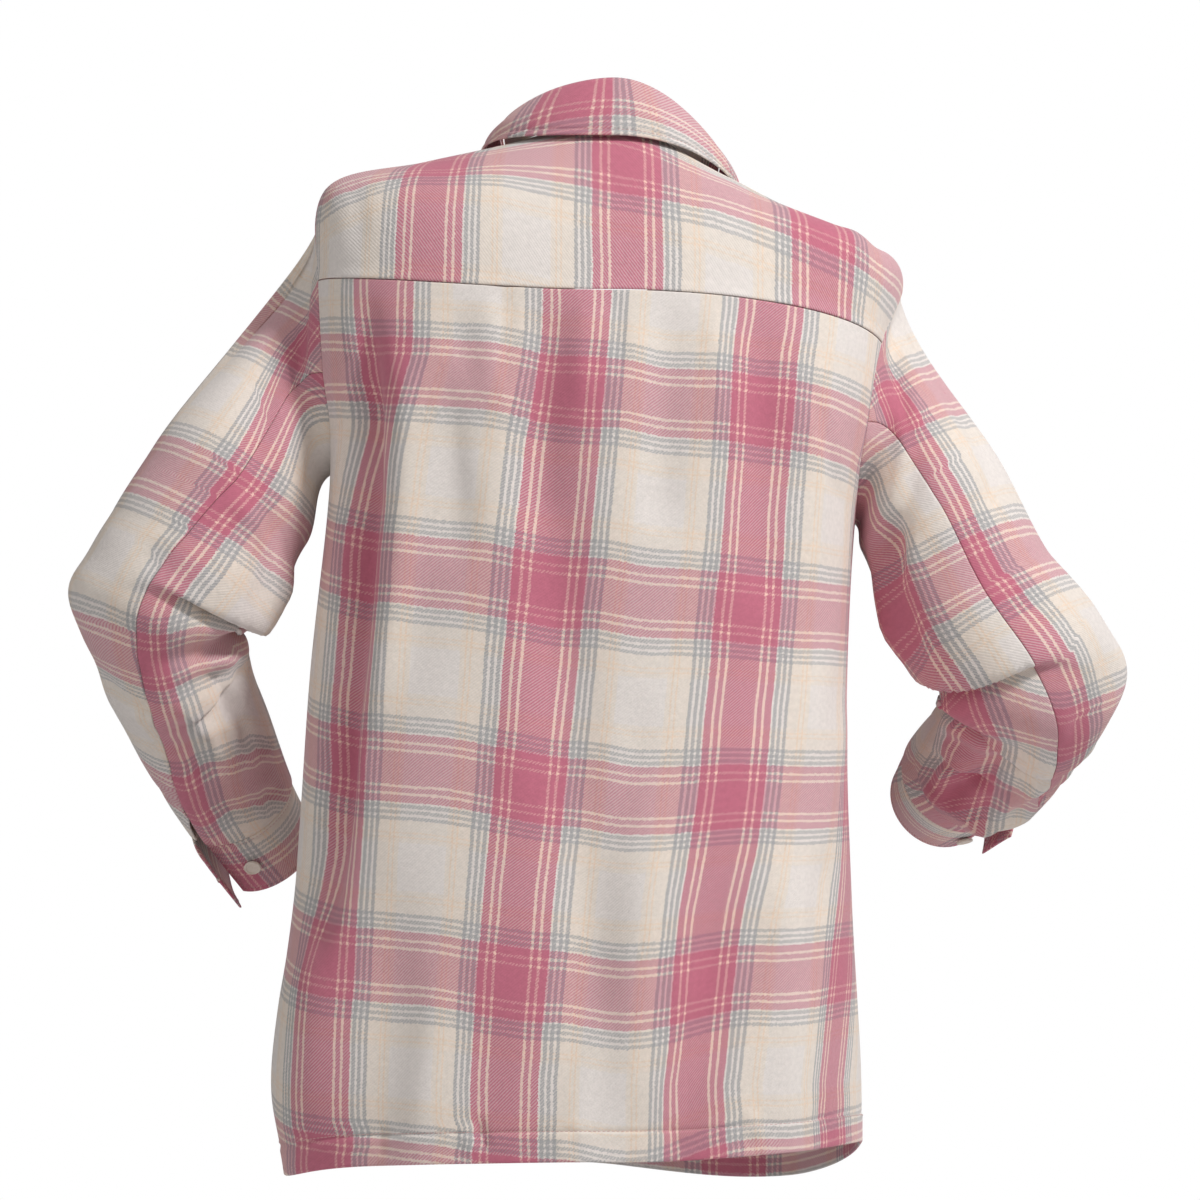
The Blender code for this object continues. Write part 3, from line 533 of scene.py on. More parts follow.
def flannel_material():
    """Brushed cotton flannel: matt, with a soft nap that catches light at its edges."""
    material = bpy.data.materials.new("brushed plaid flannel")
    material.use_nodes = True
    tree = material.node_tree
    shader = tree.nodes["Principled BSDF"]
    plaid = add_node(tree, "ShaderNodeGroup", node_tree=plaid_group())
    tree.links.new(plaid.outputs["Colour"], shader.inputs["Base Color"])
    bump = add_node(
        tree, "ShaderNodeBump", {"Height": plaid.outputs["Height"], "Strength": 0.55, "Distance": 0.0005}
    )
    tree.links.new(bump.outputs["Normal"], shader.inputs["Normal"])
    shader.inputs["Roughness"].default_value = 0.95
    shader.inputs["Specular IOR Level"].default_value = 0.15
    shader.inputs["Sheen Weight"].default_value = 0.22
    shader.inputs["Sheen Roughness"].default_value = 0.55
    shader.inputs["Sheen Tint"].default_value = (1.0, 0.95, 0.93, 1.0)
    return material


flannel = flannel_material()


def dress(piece, node):
    piece.data.materials.append(flannel)
    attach(piece, "root")
    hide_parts(node)


def panel_grid(levels, left, right, shares):
    """Angles and levels of a body panel. Only columns near an edge follow its curve."""
    start, end = left[0], right[0]
    angle = np.repeat((start + (end - start) * shares)[None, :], len(levels), 0)
    angle += np.clip(1 - shares / EDGE_SHARE, 0, 1) * (left - start)[:, None]
    angle += np.clip(1 - (1 - shares) / EDGE_SHARE, 0, 1) * (right - end)[:, None]
    return angle, np.repeat(levels[:, None], len(shares), 1)


def with_armhole_rows(levels, low, high):
    """Adds closer rows where the armhole's edge turns quickly."""
    more = armhole_levels(np.linspace(0, 180, 61))
    more = more[(more > low) & (more < high)]
    wanted = np.sort(np.concatenate([levels, more]))
    kept = [wanted[0]]
    for value in wanted[1:-1]:
        if value - kept[-1] > ARMHOLE_STEP or value < LEVEL_NEAR_HEM:
            kept.append(value)
    return np.array([*kept, wanted[-1]])


def stitch_groove(distance, at):
    """How far a row of stitches sinks the cloth, at a distance from an edge."""
    return -STITCH_SINK * np.exp(-(((distance - at) / STITCH_WIDTH) ** 2))


def eased(table, height, across):
    """A value from a small table of heights and places across, smooth between its rows and columns."""
    row = np.interp(height, EASE_HEIGHTS, np.arange(len(EASE_HEIGHTS)))
    rows = curve(table, row.ravel()).reshape(*row.shape, -1)
    column = np.interp(across, EASE_ACROSS, np.arange(len(EASE_ACROSS)))
    first = np.minimum(column.astype(int), len(EASE_ACROSS) - 2)
    low = np.take_along_axis(rows, first[..., None], -1)[..., 0]
    high = np.take_along_axis(rows, first[..., None] + 1, -1)[..., 0]
    return low + (high - low) * smooth(column - first)


THREAD = 0.00022
STITCH_LENGTH = 0.0024
STITCH_PITCH = 0.0032
BAR_SIDES = 6
BAR_RINGS = 5
TWIST_SCALE = 2600.0

thread = bpy.data.materials.new("spun sewing thread")
thread.use_nodes = True
tree = thread.node_tree
shader = tree.nodes["Principled BSDF"]
spot = add_node(tree, "ShaderNodeTexCoord").outputs["Object"]
twist = noise_value(tree, spot, TWIST_SCALE, 2.0)
strands = (paint(176, 128, 130), paint(226, 196, 190))
tree.links.new(mixed(tree, "MIX", twist, *strands), shader.inputs["Base Color"])
ply = add_node(tree, "ShaderNodeBump", {"Height": twist, "Strength": 0.5, "Distance": 0.0001})
tree.links.new(ply.outputs["Normal"], shader.inputs["Normal"])
shader.inputs["Roughness"].default_value = 0.7


def thread_bars(starts, ends, out):
    """Short lengths of thread that lie on the cloth between points and dip into it at both ends."""
    share = np.array([0.0, 0.2, 0.5, 0.8, 1.0])[None, :, None]
    lift = THREAD * np.array([-0.9, 0.6, 0.9, 0.6, -0.9])[None, :, None]
    centre = starts[:, None] * (1 - share) + ends[:, None] * share + lift * out[:, None]
    side = unit(np.cross(out, ends - starts))[:, None, None]
    thick = THREAD * np.array([0.6, 1.0, 1.0, 1.0, 0.6])[None, :, None, None]
    corner = np.arange(BAR_SIDES)
    turn = 2 * np.pi * corner[None, None, :, None] / BAR_SIDES
    rings = centre[:, :, None] + thick * (np.cos(turn) * side + np.sin(turn) * out[:, None, None])
    bar = (np.arange(len(starts)) * BAR_SIDES * BAR_RINGS)[:, None, None]
    ring = bar + (np.arange(BAR_RINGS - 1) * BAR_SIDES)[None, :, None]
    place, beside = ring + corner, ring + (corner + 1) % BAR_SIDES
    walls = np.stack([place, place + BAR_SIDES, beside + BAR_SIDES, beside], -1).reshape(-1, 4).tolist()
    caps = []
    for base in bar.ravel():
        caps.append((base + corner[::-1]).tolist())
        caps.append((base + BAR_SIDES * (BAR_RINGS - 1) + corner).tolist())
    return rings.reshape(-1, 3), walls + caps


def stitched(path, out):
    """Ends of a row of stitches along a line of points, with the outward direction at each."""
    length = run_lengths(path, 0)
    starts = np.arange(STITCH_PITCH / 2, length[-1] - STITCH_PITCH, STITCH_PITCH)
    points = [
        np.stack([np.interp(at, length, values[:, axis]) for axis in range(3)], -1)
        for at, values in ((starts, path), (starts + STITCH_LENGTH, path), (starts, out))
    ]
    return points[0], points[1], unit(points[2])


def sew(name, rows):
    """One piece of thread work from rows of bar ends."""
    ends = [np.concatenate([row[part] for row in rows]) for part in range(3)]
    verts, faces = thread_bars(*ends)
    mesh = bpy.data.meshes.new(name)
    mesh.from_pydata(verts.tolist(), [], faces)
    mesh.polygons.foreach_set("use_smooth", np.ones(len(mesh.polygons), bool))
    mesh.materials.append(thread)
    piece = bpy.data.objects.new(name, mesh)
    bpy.context.scene.collection.objects.link(piece)
    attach(piece, "root")


back_form = body_form(BACK_CREASES)
back_low, back_high = 0.0, YOKE_LEVEL - SEAM_LEVEL
levels = even_steps(lambda v: body_base(90.0, v), back_low, back_high, GRID, marks=(HEM_DEPTH,))
levels = with_armhole_rows(levels, ARMPIT_LEVEL, back_high)
side = armhole_angle(levels, True) + np.where(levels <= ARMPIT_LEVEL, SEAM_ANGLE, 0)
shares = even_steps(lambda v: body_base(180 * v, MIDDLE_LEVEL), 0.0, 1.0, GRID)
angle, level = panel_grid(levels, side, 180 - side, shares)
back_points = back_form(angle, level)
back_out = grid_normals(back_points, normals(body_base, angle, level, *BODY_STEPS))
from_hem = run_lengths(body_base(angle, level), 0)
lift = stitch_groove(from_hem, HEM_DEPTH) + HEM_FULLNESS * smooth((HEM_DEPTH - from_hem) / HEM_TURN)
middle = np.abs(angle - 90).argmin(1)
run = run_lengths(back_points, 1)
across = run - run[np.arange(len(levels)), middle][:, None]
height = back_points[..., 2]
warp = BACK_WARP_START + across + eased(WARP_EASE, height, across)
weft = BACK_WEFT_START + from_hem[-1] - from_hem + eased(WEFT_EASE, height, across)
back_cloth = np.stack([warp, weft, np.ones_like(warp)], -1)
back_panel = shell("back_panel_cloth", back_points + lift[..., None] * back_out, back_out, CLOTH, back_cloth)
dress(back_panel, "back_panel")
row = np.abs(from_hem.mean(1) - HEM_DEPTH).argmin()
hem_line = (back_points + lift[..., None] * back_out)[row, 2:-2]
hem_rows = [stitched(hem_line, back_out[row, 2:-2])]

# Yoke: one shaped piece across both shoulders, cut crosswise, so that its twill slants the other way.
# Its lower edge is turned under and sewn over the back, and it meets the fronts past the shoulder line.
YOKE_CREASES = (
    (-0.186, -0.020, -0.196, -0.120, 0.004, 0.007, -0.0022),
    (-0.172, -0.030, -0.178, -0.110, 0.002, 0.008, 0.0016),
    (0.192, -0.030, 0.186, -0.105, 0.003, 0.008, -0.0014),
    (0.110, -0.020, 0.070, -0.080, 0.004, 0.014, 0.0008),
    (-0.100, -0.030, -0.070, -0.090, -0.004, 0.014, 0.0008),
)
YOKE_WARP_START = -0.0105
YOKE_WEFT_START = 0.103
YOKE_ACROSS = (-0.24, -0.15, -0.08, 0.00, 0.07, 0.12, 0.22)
YOKE_SLANT = (-0.028, 0.001, -0.001, -0.016, -0.025, -0.035, -0.049)
YOKE_REACH = 0.75
YOKE_TURN_UNDER = 0.0007
YOKE_TURN_DEPTH = 0.010
YOKE_MIDDLE = 6.5

yoke_form = body_form(YOKE_CREASES)
levels = even_steps(lambda v: body_base(90.0, v), YOKE_LEVEL + SEAM_LEVEL, NECK_LEVEL, GRID)
levels = with_armhole_rows(levels, YOKE_LEVEL + SEAM_LEVEL, SHOULDER_LEVEL)
side = armhole_angle(levels, True) + np.where(levels >= SHOULDER_LEVEL, SEAM_ANGLE, 0)
shares = even_steps(lambda v: body_base(180 * v, YOKE_MIDDLE), 0.0, 1.0, GRID)
angle, level = panel_grid(levels, side, 180 - side, shares)
yoke_points = yoke_form(angle, level)
yoke_out = grid_normals(yoke_points, normals(body_base, angle, level, *BODY_STEPS))
from_seam = run_lengths(body_base(angle, level), 0)
lift = YOKE_TURN_UNDER * smooth(1 - from_seam / YOKE_TURN_DEPTH)
middle = np.abs(angle - 90).argmin(1)
run = run_lengths(yoke_points, 1)
warp = run - run[np.arange(len(levels)), middle][:, None] + YOKE_WARP_START
weft = YOKE_WEFT_START - YOKE_REACH * from_seam + np.interp(warp - YOKE_WARP_START, YOKE_ACROSS, YOKE_SLANT)
yoke_cloth = np.stack([warp, weft, -np.ones_like(warp)], -1)
yoke = shell("yoke_cloth", yoke_points + lift[..., None] * yoke_out, yoke_out, CLOTH, yoke_cloth)
dress(yoke, "yoke")

# Fronts and bands: two flat fronts, plain, each with a straight doubled band sewn down its edge.
# The wearer's right band lies on top and carries the buttonholes, and the left one lies under it.
BAND_WIDTH = 0.034
BAND_SEAM = 0.0002
LAP_DEPTH = 0.0027
SPREAD_LEVELS = (0.0, 5.1, 6.0, 7.0, 8.0, 9.0)
SPREAD = (0.0, 0.0, 0.017, 0.032, 0.041, 0.046)
FRONT_CREASES = (
    (0.180, -0.180, 0.120, -0.330, 0.008, 0.012, -0.0030),
    (-0.165, -0.200, -0.110, -0.350, -0.008, 0.012, -0.0030),
    (0.060, -0.160, 0.050, -0.280, 0.004, 0.012, 0.0016),
    (-0.055, -0.170, -0.050, -0.290, 0.004, 0.012, 0.0016),
    (0.190, -0.300, 0.150, -0.460, 0.006, 0.014, -0.0025),
    (-0.150, -0.320, -0.115, -0.480, -0.006, 0.014, -0.0025),
    (0.070, -0.420, 0.080, -0.620, 0.006, 0.018, 0.0018),
    (-0.060, -0.440, -0.065, -0.640, -0.006, 0.018, 0.0018),
    (0.130, -0.560, 0.150, -0.730, 0.005, 0.016, -0.0022),
    (-0.110, -0.560, -0.118, -0.720, -0.005, 0.016, -0.0022),
    (0.024, -0.380, 0.060, -0.400, 0.004, 0.008, 0.0010),
    (-0.024, -0.400, -0.060, -0.425, 0.004, 0.008, 0.0010),
    (0.050, -0.724, 0.047, -0.750, 0.000, 0.0045, -0.0010),
    (-0.060, -0.722, -0.056, -0.748, 0.000, 0.0045, -0.0010),
)
FRONT_WARP_START = 0.030
BAND_WARP_START = SETT_HALF


def front_edge(level, side, offset):
    """Angle on the front at a distance from the middle, towards the wearer's left where side is 1."""
    ring = curve(RINGS, level)
    reach = np.interp(level, SPREAD_LEVELS, SPREAD) + offset
    half = (ring[..., RING_COLUMNS.index("x_left")] - ring[..., RING_COLUMNS.index("x_right")]) / 2
    return -90 + side * np.degrees(np.arcsin(reach / half))


front_form = body_form(FRONT_CREASES)
levels = even_steps(lambda v: body_base(-70.0, v), 0.0, NECK_LEVEL, GRID, marks=(HEM_DEPTH,))
levels = with_armhole_rows(levels, ARMPIT_LEVEL, SHOULDER_LEVEL)
gap = np.where((levels <= ARMPIT_LEVEL) | (levels >= SHOULDER_LEVEL), SEAM_ANGLE, 0)
side = armhole_angle(levels, False) - gap
half = BAND_WIDTH / 2 + BAND_SEAM
shares = even_steps(lambda v: body_base(-90 * v, MIDDLE_LEVEL), 0.0, 1.0, GRID)
fronts = (
    ("front_left", side, front_edge(levels, 1, half), shares),
    ("front_right", front_edge(levels, -1, half), -180 - side, shares),
)
for name, left, right, part in fronts:
    angle, level = panel_grid(levels, left, right, part)
    points = front_form(angle, level)
    out = grid_normals(points, normals(body_base, angle, level, *BODY_STEPS))
    ease = LAP_DEPTH * smooth((part - 0.5) / 0.5) if name == "front_left" else np.zeros_like(part)
    from_hem = run_lengths(body_base(angle, level), 0)
    lift = stitch_groove(from_hem, HEM_DEPTH) + HEM_FULLNESS * smooth((HEM_DEPTH - from_hem) / HEM_TURN)
    run = run_lengths(points, 1)
    if name == "front_left":
        warp = FRONT_WARP_START + run[:, -1:] - run
    else:
        warp = -FRONT_WARP_START - run
    weft = back_cloth[0, 0, 1] - from_hem
    place = np.stack([warp, weft, np.ones_like(warp)], -1)
    piece = shell(f"{name}_cloth", points + (lift - ease)[..., None] * out, out, CLOTH, place)
    dress(piece, name)
    row = np.abs(from_hem.mean(1) - HEM_DEPTH).argmin()
    hem_line = (points + (lift - ease)[..., None] * out)[row, 2:-2]
    hem_rows.append(stitched(hem_line, out[row, 2:-2]))
sew("hem_stitches", hem_rows)

BAND_EDGE_STITCH = 0.003
BAND_GRID = 0.0028
half = BAND_WIDTH / 2
marks = (BAND_EDGE_STITCH, -BAND_EDGE_STITCH)
shares = even_steps(lambda v: np.stack([BAND_WIDTH * v, 0 * v, 0 * v], -1), 0.0, 1.0, BAND_GRID, marks)
for name, hand, depth in (("band_right", -1, 0.0), ("band_left", 1, LAP_DEPTH)):
    near, far = front_edge(levels, hand, -half), front_edge(levels, hand, half)
    start, end = np.maximum(near, far), np.minimum(near, far)
    angle = start[:, None] + (end - start)[:, None] * shares
    level = np.repeat(levels[:, None], len(shares), 1)
    points = front_form(angle, level)
    out = grid_normals(points, normals(body_base, angle, level, *BODY_STEPS))
    points = points - depth * out
    run = run_lengths(points, 1)
    lift = stitch_groove(run, BAND_EDGE_STITCH) + stitch_groove(BAND_WIDTH - run, BAND_EDGE_STITCH)
    weft = back_cloth[0, 0, 1] - run_lengths(body_base(angle, level), 0)
    place = np.stack([BAND_WARP_START + run - BAND_WIDTH / 2, weft, np.ones_like(run)], -1)
    piece = shell(f"{name}_cloth", points + lift[..., None] * out, out, CLOTH, place)
    dress(piece, name)
    face = points + lift[..., None] * out
    places = (BAND_EDGE_STITCH, BAND_WIDTH - BAND_EDGE_STITCH)
    columns = [np.abs(run[0] - place).argmin() for place in places]
    sew(f"{name}_stitches", [stitched(face[2:-2, column], out[2:-2, column]) for column in columns])
    if name == "band_right":
        button_band = (face, out)

BUTTONHOLE = 0.017
HOLE_BAR = 0.0013
HOLE_PITCH = 0.00046
SLIT_HALF = 0.00025
HOLE_END_BARS = (0.0003, 0.0006, 0.0009)


def buttonhole(centre, along, out):
    """Bar ends of a buttonhole: close stitches on both sides of a slit, and a bar across each end."""
    aside = np.cross(out, along)
    steps = np.arange(-BUTTONHOLE / 2, BUTTONHOLE / 2, HOLE_PITCH)[:, None]
    starts, ends = [], []
    for hand in (-1, 1):
        starts.append(centre + steps * along + hand * SLIT_HALF * aside)
        ends.append(centre + steps * along + hand * (SLIT_HALF + HOLE_BAR) * aside)
    for end in (-1, 1):
        for extra in HOLE_END_BARS:
            place = centre + end * (BUTTONHOLE / 2 + extra) * along
            starts.append((place - HOLE_BAR * aside)[None])
            ends.append((place + HOLE_BAR * aside)[None])
    starts, ends = np.concatenate(starts), np.concatenate(ends)
    return starts, ends, np.repeat(out[None], len(starts), 0)


holes = []
face, out = button_band
middle = face.shape[1] // 2
for count in range(1, 8):
    corners = np.array(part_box(f"button_{count}"))
    row = np.abs(face[:, middle, 2] - corners[:, 2].mean()).argmin()
    along = unit(face[row + 2, middle] - face[row - 2, middle])
    holes.append(buttonhole(face[row, middle], along, out[row, middle]))
sew("front_buttonholes", holes)

# Collar: a stand, one curved strip on the neck seam, and a fall, which turns over the stand's top edge.
# Both are doubled flannel, and the fall has a row of stitches just inside its outer edge.
COLLAR_CLOTH = 0.0022
COLLAR_COLUMNS = ("angle", "rise", "flare", "edge", "sweep")
COLLAR = (
    (-64.0, 0.010, 0.016, 7.05, -3.0),
    (-48.0, 0.013, 0.017, 7.70, -2.0),
    (-20.0, 0.015, 0.014, 8.48, 0.0),
    (0.0, 0.017, 0.011, 8.66, 0.0),
    (30.0, 0.024, 0.004, 8.70, 0.0),
    (60.0, 0.032, -0.002, 8.70, 0.0),
    (90.0, 0.036, -0.004, 8.70, 0.0),
    (120.0, 0.034, -0.002, 8.70, 0.0),
    (150.0, 0.027, 0.004, 8.70, 0.0),
    (180.0, 0.020, 0.012, 8.66, 0.0),
    (200.0, 0.016, 0.015, 8.48, 0.0),
    (228.0, 0.013, 0.017, 7.70, 2.0),
    (244.0, 0.010, 0.016, 7.05, 3.0),
)
NECK_SEAM = 0.0007
FALL_BEND = 0.0028
FALL_START = 0.0008
FALL_OUT = 0.0022
SHOULDER_OUT = 0.0056
SHOULDER_DROP = 0.0012
FALL_BELLY = 0.0025
FALL_REST = 0.0042
FALL_STITCH = 0.005
FALL_GRID = 0.0022
RIM_FULLNESS = 0.0003
FALL_WARP_START = 0.020
FALL_WEFT_START = -0.0125

plain_form = body_form(())
rows = np.asarray(COLLAR, float)
edge_left = front_edge(NECK_LEVEL, 1, -BAND_WIDTH / 2)
neck_turn = 180 - 2 * edge_left
marks = (FALL_STITCH, -FALL_STITCH)
angle = edge_left + neck_turn * even_steps(
    lambda v: plain_form(edge_left + neck_turn * v, NECK_LEVEL), 0.0, 1.0, GRID, marks
)
place = np.interp(angle, rows[:, 0], np.arange(len(rows)))
row = dict(zip(COLLAR_COLUMNS, np.moveaxis(curve(COLLAR, place), -1, 0)))
seam = plain_form(angle, NECK_LEVEL)
outward = seam - seam.mean(0)
outward[:, 2] = 0
outward = unit(outward)
top = seam + row["flare"][:, None] * outward
top[:, 2] += row["rise"]
rise = unit(top - seam)
along = unit(np.gradient(seam, axis=0))
out = unit(np.cross(rise, along))
out *= np.sign((out * outward).sum(-1, keepdims=True))
length = np.linalg.norm(top - seam, axis=-1)
ends = np.array([0, 0.01, 0.03, 0.06])
share = np.concatenate([ends, np.linspace(0.12, 0.88, 8), 1 - ends[::-1]])
reach = (NECK_SEAM + share[:, None] * (length - NECK_SEAM - FALL_BEND)[None, :])[..., None]
wall = seam[None] + reach * rise[None]
run = run_lengths(wall, 1)
warp = FALL_WARP_START + run - run[:, -1:] / 2
weft = SETT_HALF + reach[..., 0]
stand_cloth = np.stack([warp, weft, np.ones_like(run)], -1)
stand_out = np.broadcast_to(out, wall.shape)
stand = shell("collar_stand_cloth", wall, stand_out, CLOTH, stand_cloth)
dress(stand, "collar_stand")

half = COLLAR_CLOTH / 2
edge = angle - row["sweep"]
lower = plain_form(edge, row["edge"]) + FALL_REST * normals(plain_form, edge, row["edge"], *FORM_STEPS)
start = seam + (length - FALL_START)[:, None] * rise - half * out
fold = start + (FALL_BEND - SHOULDER_DROP) * rise + FALL_OUT * out
shoulder = start + SHOULDER_OUT * out - SHOULDER_DROP * rise
drop = lower - shoulder
bulge = unit(np.cross(along, drop))
bulge *= np.sign((bulge * outward).sum(-1, keepdims=True))
belly = shoulder + drop / 2 + FALL_BELLY * bulge
spine = np.stack([start, fold, shoulder, belly, lower]).reshape(5, -1)
nape = len(angle) // 2
steps = even_steps(
    lambda v: curve(spine, v).reshape(len(v), -1, 3)[:, nape], 0.0, 4.0, FALL_GRID, (-FALL_STITCH,)
)
profile = curve(spine, steps).reshape(len(steps), -1, 3)
fall_out = unit(np.cross(np.gradient(profile, axis=0), np.gradient(profile, axis=1)))
fall_out *= np.sign((fall_out[-1] * outward).sum())
down = run_lengths(profile, 0)
sides = run_lengths(profile, 1)
rim = np.minimum(down[-1:] - down, np.minimum(sides, sides[:, -1:] - sides))
lift = stitch_groove(rim, FALL_STITCH) + RIM_FULLNESS * smooth(1 - rim / FALL_STITCH)
across = run_lengths(seam, 0)
warp = np.broadcast_to(FALL_WARP_START + across - across[-1] / 2, down.shape)
fall_cloth = np.stack([warp, FALL_WEFT_START + down, np.ones_like(down)], -1)
fall_points = profile + (half + lift)[..., None] * fall_out
fall = shell("collar_fall_cloth", fall_points, fall_out, COLLAR_CLOTH, fall_cloth)
dress(fall, "collar_fall")
row = np.abs((down[-1:] - down).mean(1) - FALL_STITCH).argmin()
near = np.abs(sides[row] - FALL_STITCH).argmin()
far = np.abs(sides[row, -1] - sides[row] - FALL_STITCH).argmin()
collar_rows = [stitched(fall_points[row, near : far + 1], fall_out[row, near : far + 1])]
turned = len(steps) // 3
for column in (near, far):
    collar_rows.append(stitched(fall_points[turned:row, column], fall_out[turned:row, column]))
sew("collar_stitches", collar_rows)

# Sleeves: a top piece and an under piece each, joined along the arm's back and front.
# They are full and loose, crumple at the elbow, and the back seam stays open above the cuff as its vent.
ARMHOLE_GAP = 0.0005
SLEEVE_SEAM = 0.09
# The arm's middle (x, y, z) at each section, and how far its surface is to the side, the back and the front.
LEFT_SECTIONS = (
    (0.284, 0.004, -0.267, 0.0675, 0.064, 0.062),
    (0.309, 0.008, -0.311, 0.0680, 0.064, 0.052),
    (0.330, 0.006, -0.352, 0.0650, 0.063, 0.038),
    (0.320, -0.024, -0.400, 0.0540, 0.058, 0.044),
    (0.304, -0.060, -0.441, 0.0500, 0.053, 0.050),
    (0.284, -0.104, -0.484, 0.0440, 0.047, 0.046),
    (0.262, -0.140, -0.520, 0.0395, 0.042, 0.041),
)
RIGHT_SECTIONS = (
    (-0.239, 0.006, -0.280, 0.0610, 0.063, 0.062),
    (-0.268, 0.010, -0.341, 0.0615, 0.065, 0.050),
    (-0.304, 0.004, -0.394, 0.0660, 0.068, 0.030),
    (-0.303, -0.048, -0.425, 0.0640, 0.062, 0.036),
    (-0.288, -0.105, -0.443, 0.0570, 0.056, 0.048),
    (-0.272, -0.160, -0.456, 0.0490, 0.048, 0.047),
    (-0.259, -0.212, -0.470, 0.0410, 0.042, 0.041),
)
CUFF_SECTION = 6.0
LAST_SECTION = 7.0
LEFT_BACK_SEAM = (112, 98, 90, 85, 80, 68, 52, 45)
RIGHT_BACK_SEAM = (110, 94, 94, 98, 92, 72, 52, 44)
FRONT_SEAM = (-104, -98, -96, -96, -100, -104, -108, -110)
DEPARTURE = (-20, -12, 10, 62, 128)
VENT_START = 5.35
VENT_OPEN = 7.0
SLEEVE_FOLD_COLUMNS = ("section", "angle", "along", "round", "height")
LEFT_SLEEVE_FOLDS = (
    (2.92, 28, 0.15, 40, 0.0075),
    (3.45, 40, 0.26, 45, -0.0050),
    (3.36, 150, 0.17, 48, -0.0100),
    (2.95, 140, 0.24, 50, 0.0050),
    (3.36, 225, 0.20, 45, -0.0085),
    (3.85, 75, 0.28, 45, 0.0030),
    (4.40, 100, 0.28, 50, -0.0035),
    (1.50, 170, 0.50, 30, -0.0050),
    (0.60, 60, 0.32, 28, 0.0030),
    (0.55, -60, 0.32, 28, -0.0045),
    (2.75, 265, 0.30, 45, 0.0040),
)
RIGHT_SLEEVE_FOLDS = (
    (3.15, 28, 0.16, 40, 0.0070),
    (3.70, 45, 0.26, 45, -0.0050),
    (3.34, 150, 0.17, 52, -0.0110),
    (2.92, 140, 0.26, 52, 0.0055),
    (3.36, 225, 0.20, 45, -0.0095),
    (3.85, 85, 0.28, 55, 0.0035),
    (4.40, 80, 0.28, 52, -0.0045),
    (4.95, 95, 0.30, 50, 0.0035),
    (1.50, 165, 0.50, 30, -0.0055),
    (0.65, 75, 0.32, 28, 0.0030),
    (0.55, -60, 0.32, 28, -0.0045),
)
# Creases on a sleeve run from (angle_a, section_a) to (angle_b, section_b): their bow, half width and height.
LEFT_CREASES = (
    (18, 0.26, 122, 0.26, 0.002, 0.0060, -0.0085),
    (14, 0.12, 126, 0.12, 0.000, 0.0050, 0.0040),
    (120, 1.00, 150, 2.40, 0.008, 0.0090, -0.0050),
    (150, 0.90, 172, 2.20, 0.006, 0.0100, 0.0045),
    (98, 3.60, 118, 5.20, 0.008, 0.0090, 0.0055),
    (125, 3.40, 150, 5.00, 0.008, 0.0090, -0.0060),
    (60, 0.45, 150, 1.30, 0.006, 0.0100, -0.0042),
    (90, 1.20, 175, 1.90, 0.006, 0.0090, 0.0033),
    (60, 2.50, 150, 2.75, 0.004, 0.0080, -0.0033),
    (40, 3.02, 110, 3.24, 0.003, 0.0060, -0.0042),
    (95, 3.55, 185, 4.10, 0.006, 0.0065, -0.0051),
    (90, 3.50, 170, 3.70, 0.004, 0.0060, 0.0039),
    (30, 3.60, 95, 3.95, 0.003, 0.0070, -0.0039),
    (70, 4.15, 160, 4.60, 0.004, 0.0070, 0.0036),
    (60, 4.70, 130, 4.95, 0.004, 0.0070, -0.0039),
    (100, 5.00, 190, 5.30, 0.004, 0.0065, 0.0030),
    (20, 5.20, 60, 5.70, 0.003, 0.0060, -0.0033),
    (80, 5.50, 170, 5.75, 0.003, 0.0060, -0.0030),
    (200, 1.80, 320, 2.40, 0.006, 0.0100, -0.0042),
    (210, 3.80, 320, 4.20, 0.006, 0.0080, -0.0039),
    (240, 3.00, 330, 3.30, 0.005, 0.0080, 0.0039),
    (200, 4.60, 300, 5.10, 0.004, 0.0080, 0.0030),
)
RIGHT_CREASES = (
    (120, 0.90, 150, 2.40, 0.010, 0.0090, -0.0075),
    (150, 0.80, 172, 2.30, 0.006, 0.0100, 0.0060),
    (95, 3.50, 118, 5.60, 0.008, 0.0090, 0.0070),
    (125, 3.30, 150, 5.20, 0.008, 0.0090, -0.0075),
    (60, 3.60, 74, 5.20, -0.006, 0.0100, -0.0060),
    (20, 0.60, 60, 1.60, 0.006, 0.0100, -0.0040),
    (30, 0.10, 100, 0.60, 0.004, 0.0070, -0.0048),
    (60, 0.30, 140, 1.20, 0.006, 0.0085, 0.0033),
    (80, 0.60, 165, 1.60, 0.006, 0.0085, -0.0054),
    (110, 1.40, 180, 2.20, 0.005, 0.0090, 0.0036),
    (55, 2.45, 150, 2.70, 0.004, 0.0080, -0.0033),
    (30, 3.05, 100, 3.26, 0.003, 0.0060, -0.0045),
    (90, 3.50, 190, 4.00, 0.008, 0.0065, -0.0060),
    (80, 3.45, 170, 3.65, 0.004, 0.0060, 0.0042),
    (95, 4.00, 190, 4.70, 0.008, 0.0065, -0.0060),
    (90, 3.90, 180, 4.35, 0.006, 0.0060, 0.0042),
    (30, 3.60, 90, 4.10, 0.003, 0.0070, -0.0045),
    (20, 4.40, 80, 4.70, 0.003, 0.0070, -0.0051),
    (90, 4.80, 180, 5.30, 0.005, 0.0065, 0.0039),
    (60, 5.30, 150, 5.60, 0.003, 0.0060, -0.0036),
    (200, 1.80, 320, 2.40, 0.006, 0.0100, -0.0042),
    (210, 3.80, 320, 4.20, 0.006, 0.0080, -0.0039),
    (240, 3.00, 330, 3.30, 0.005, 0.0080, 0.0039),
    (200, 4.60, 300, 5.10, 0.004, 0.0080, 0.0030),
)
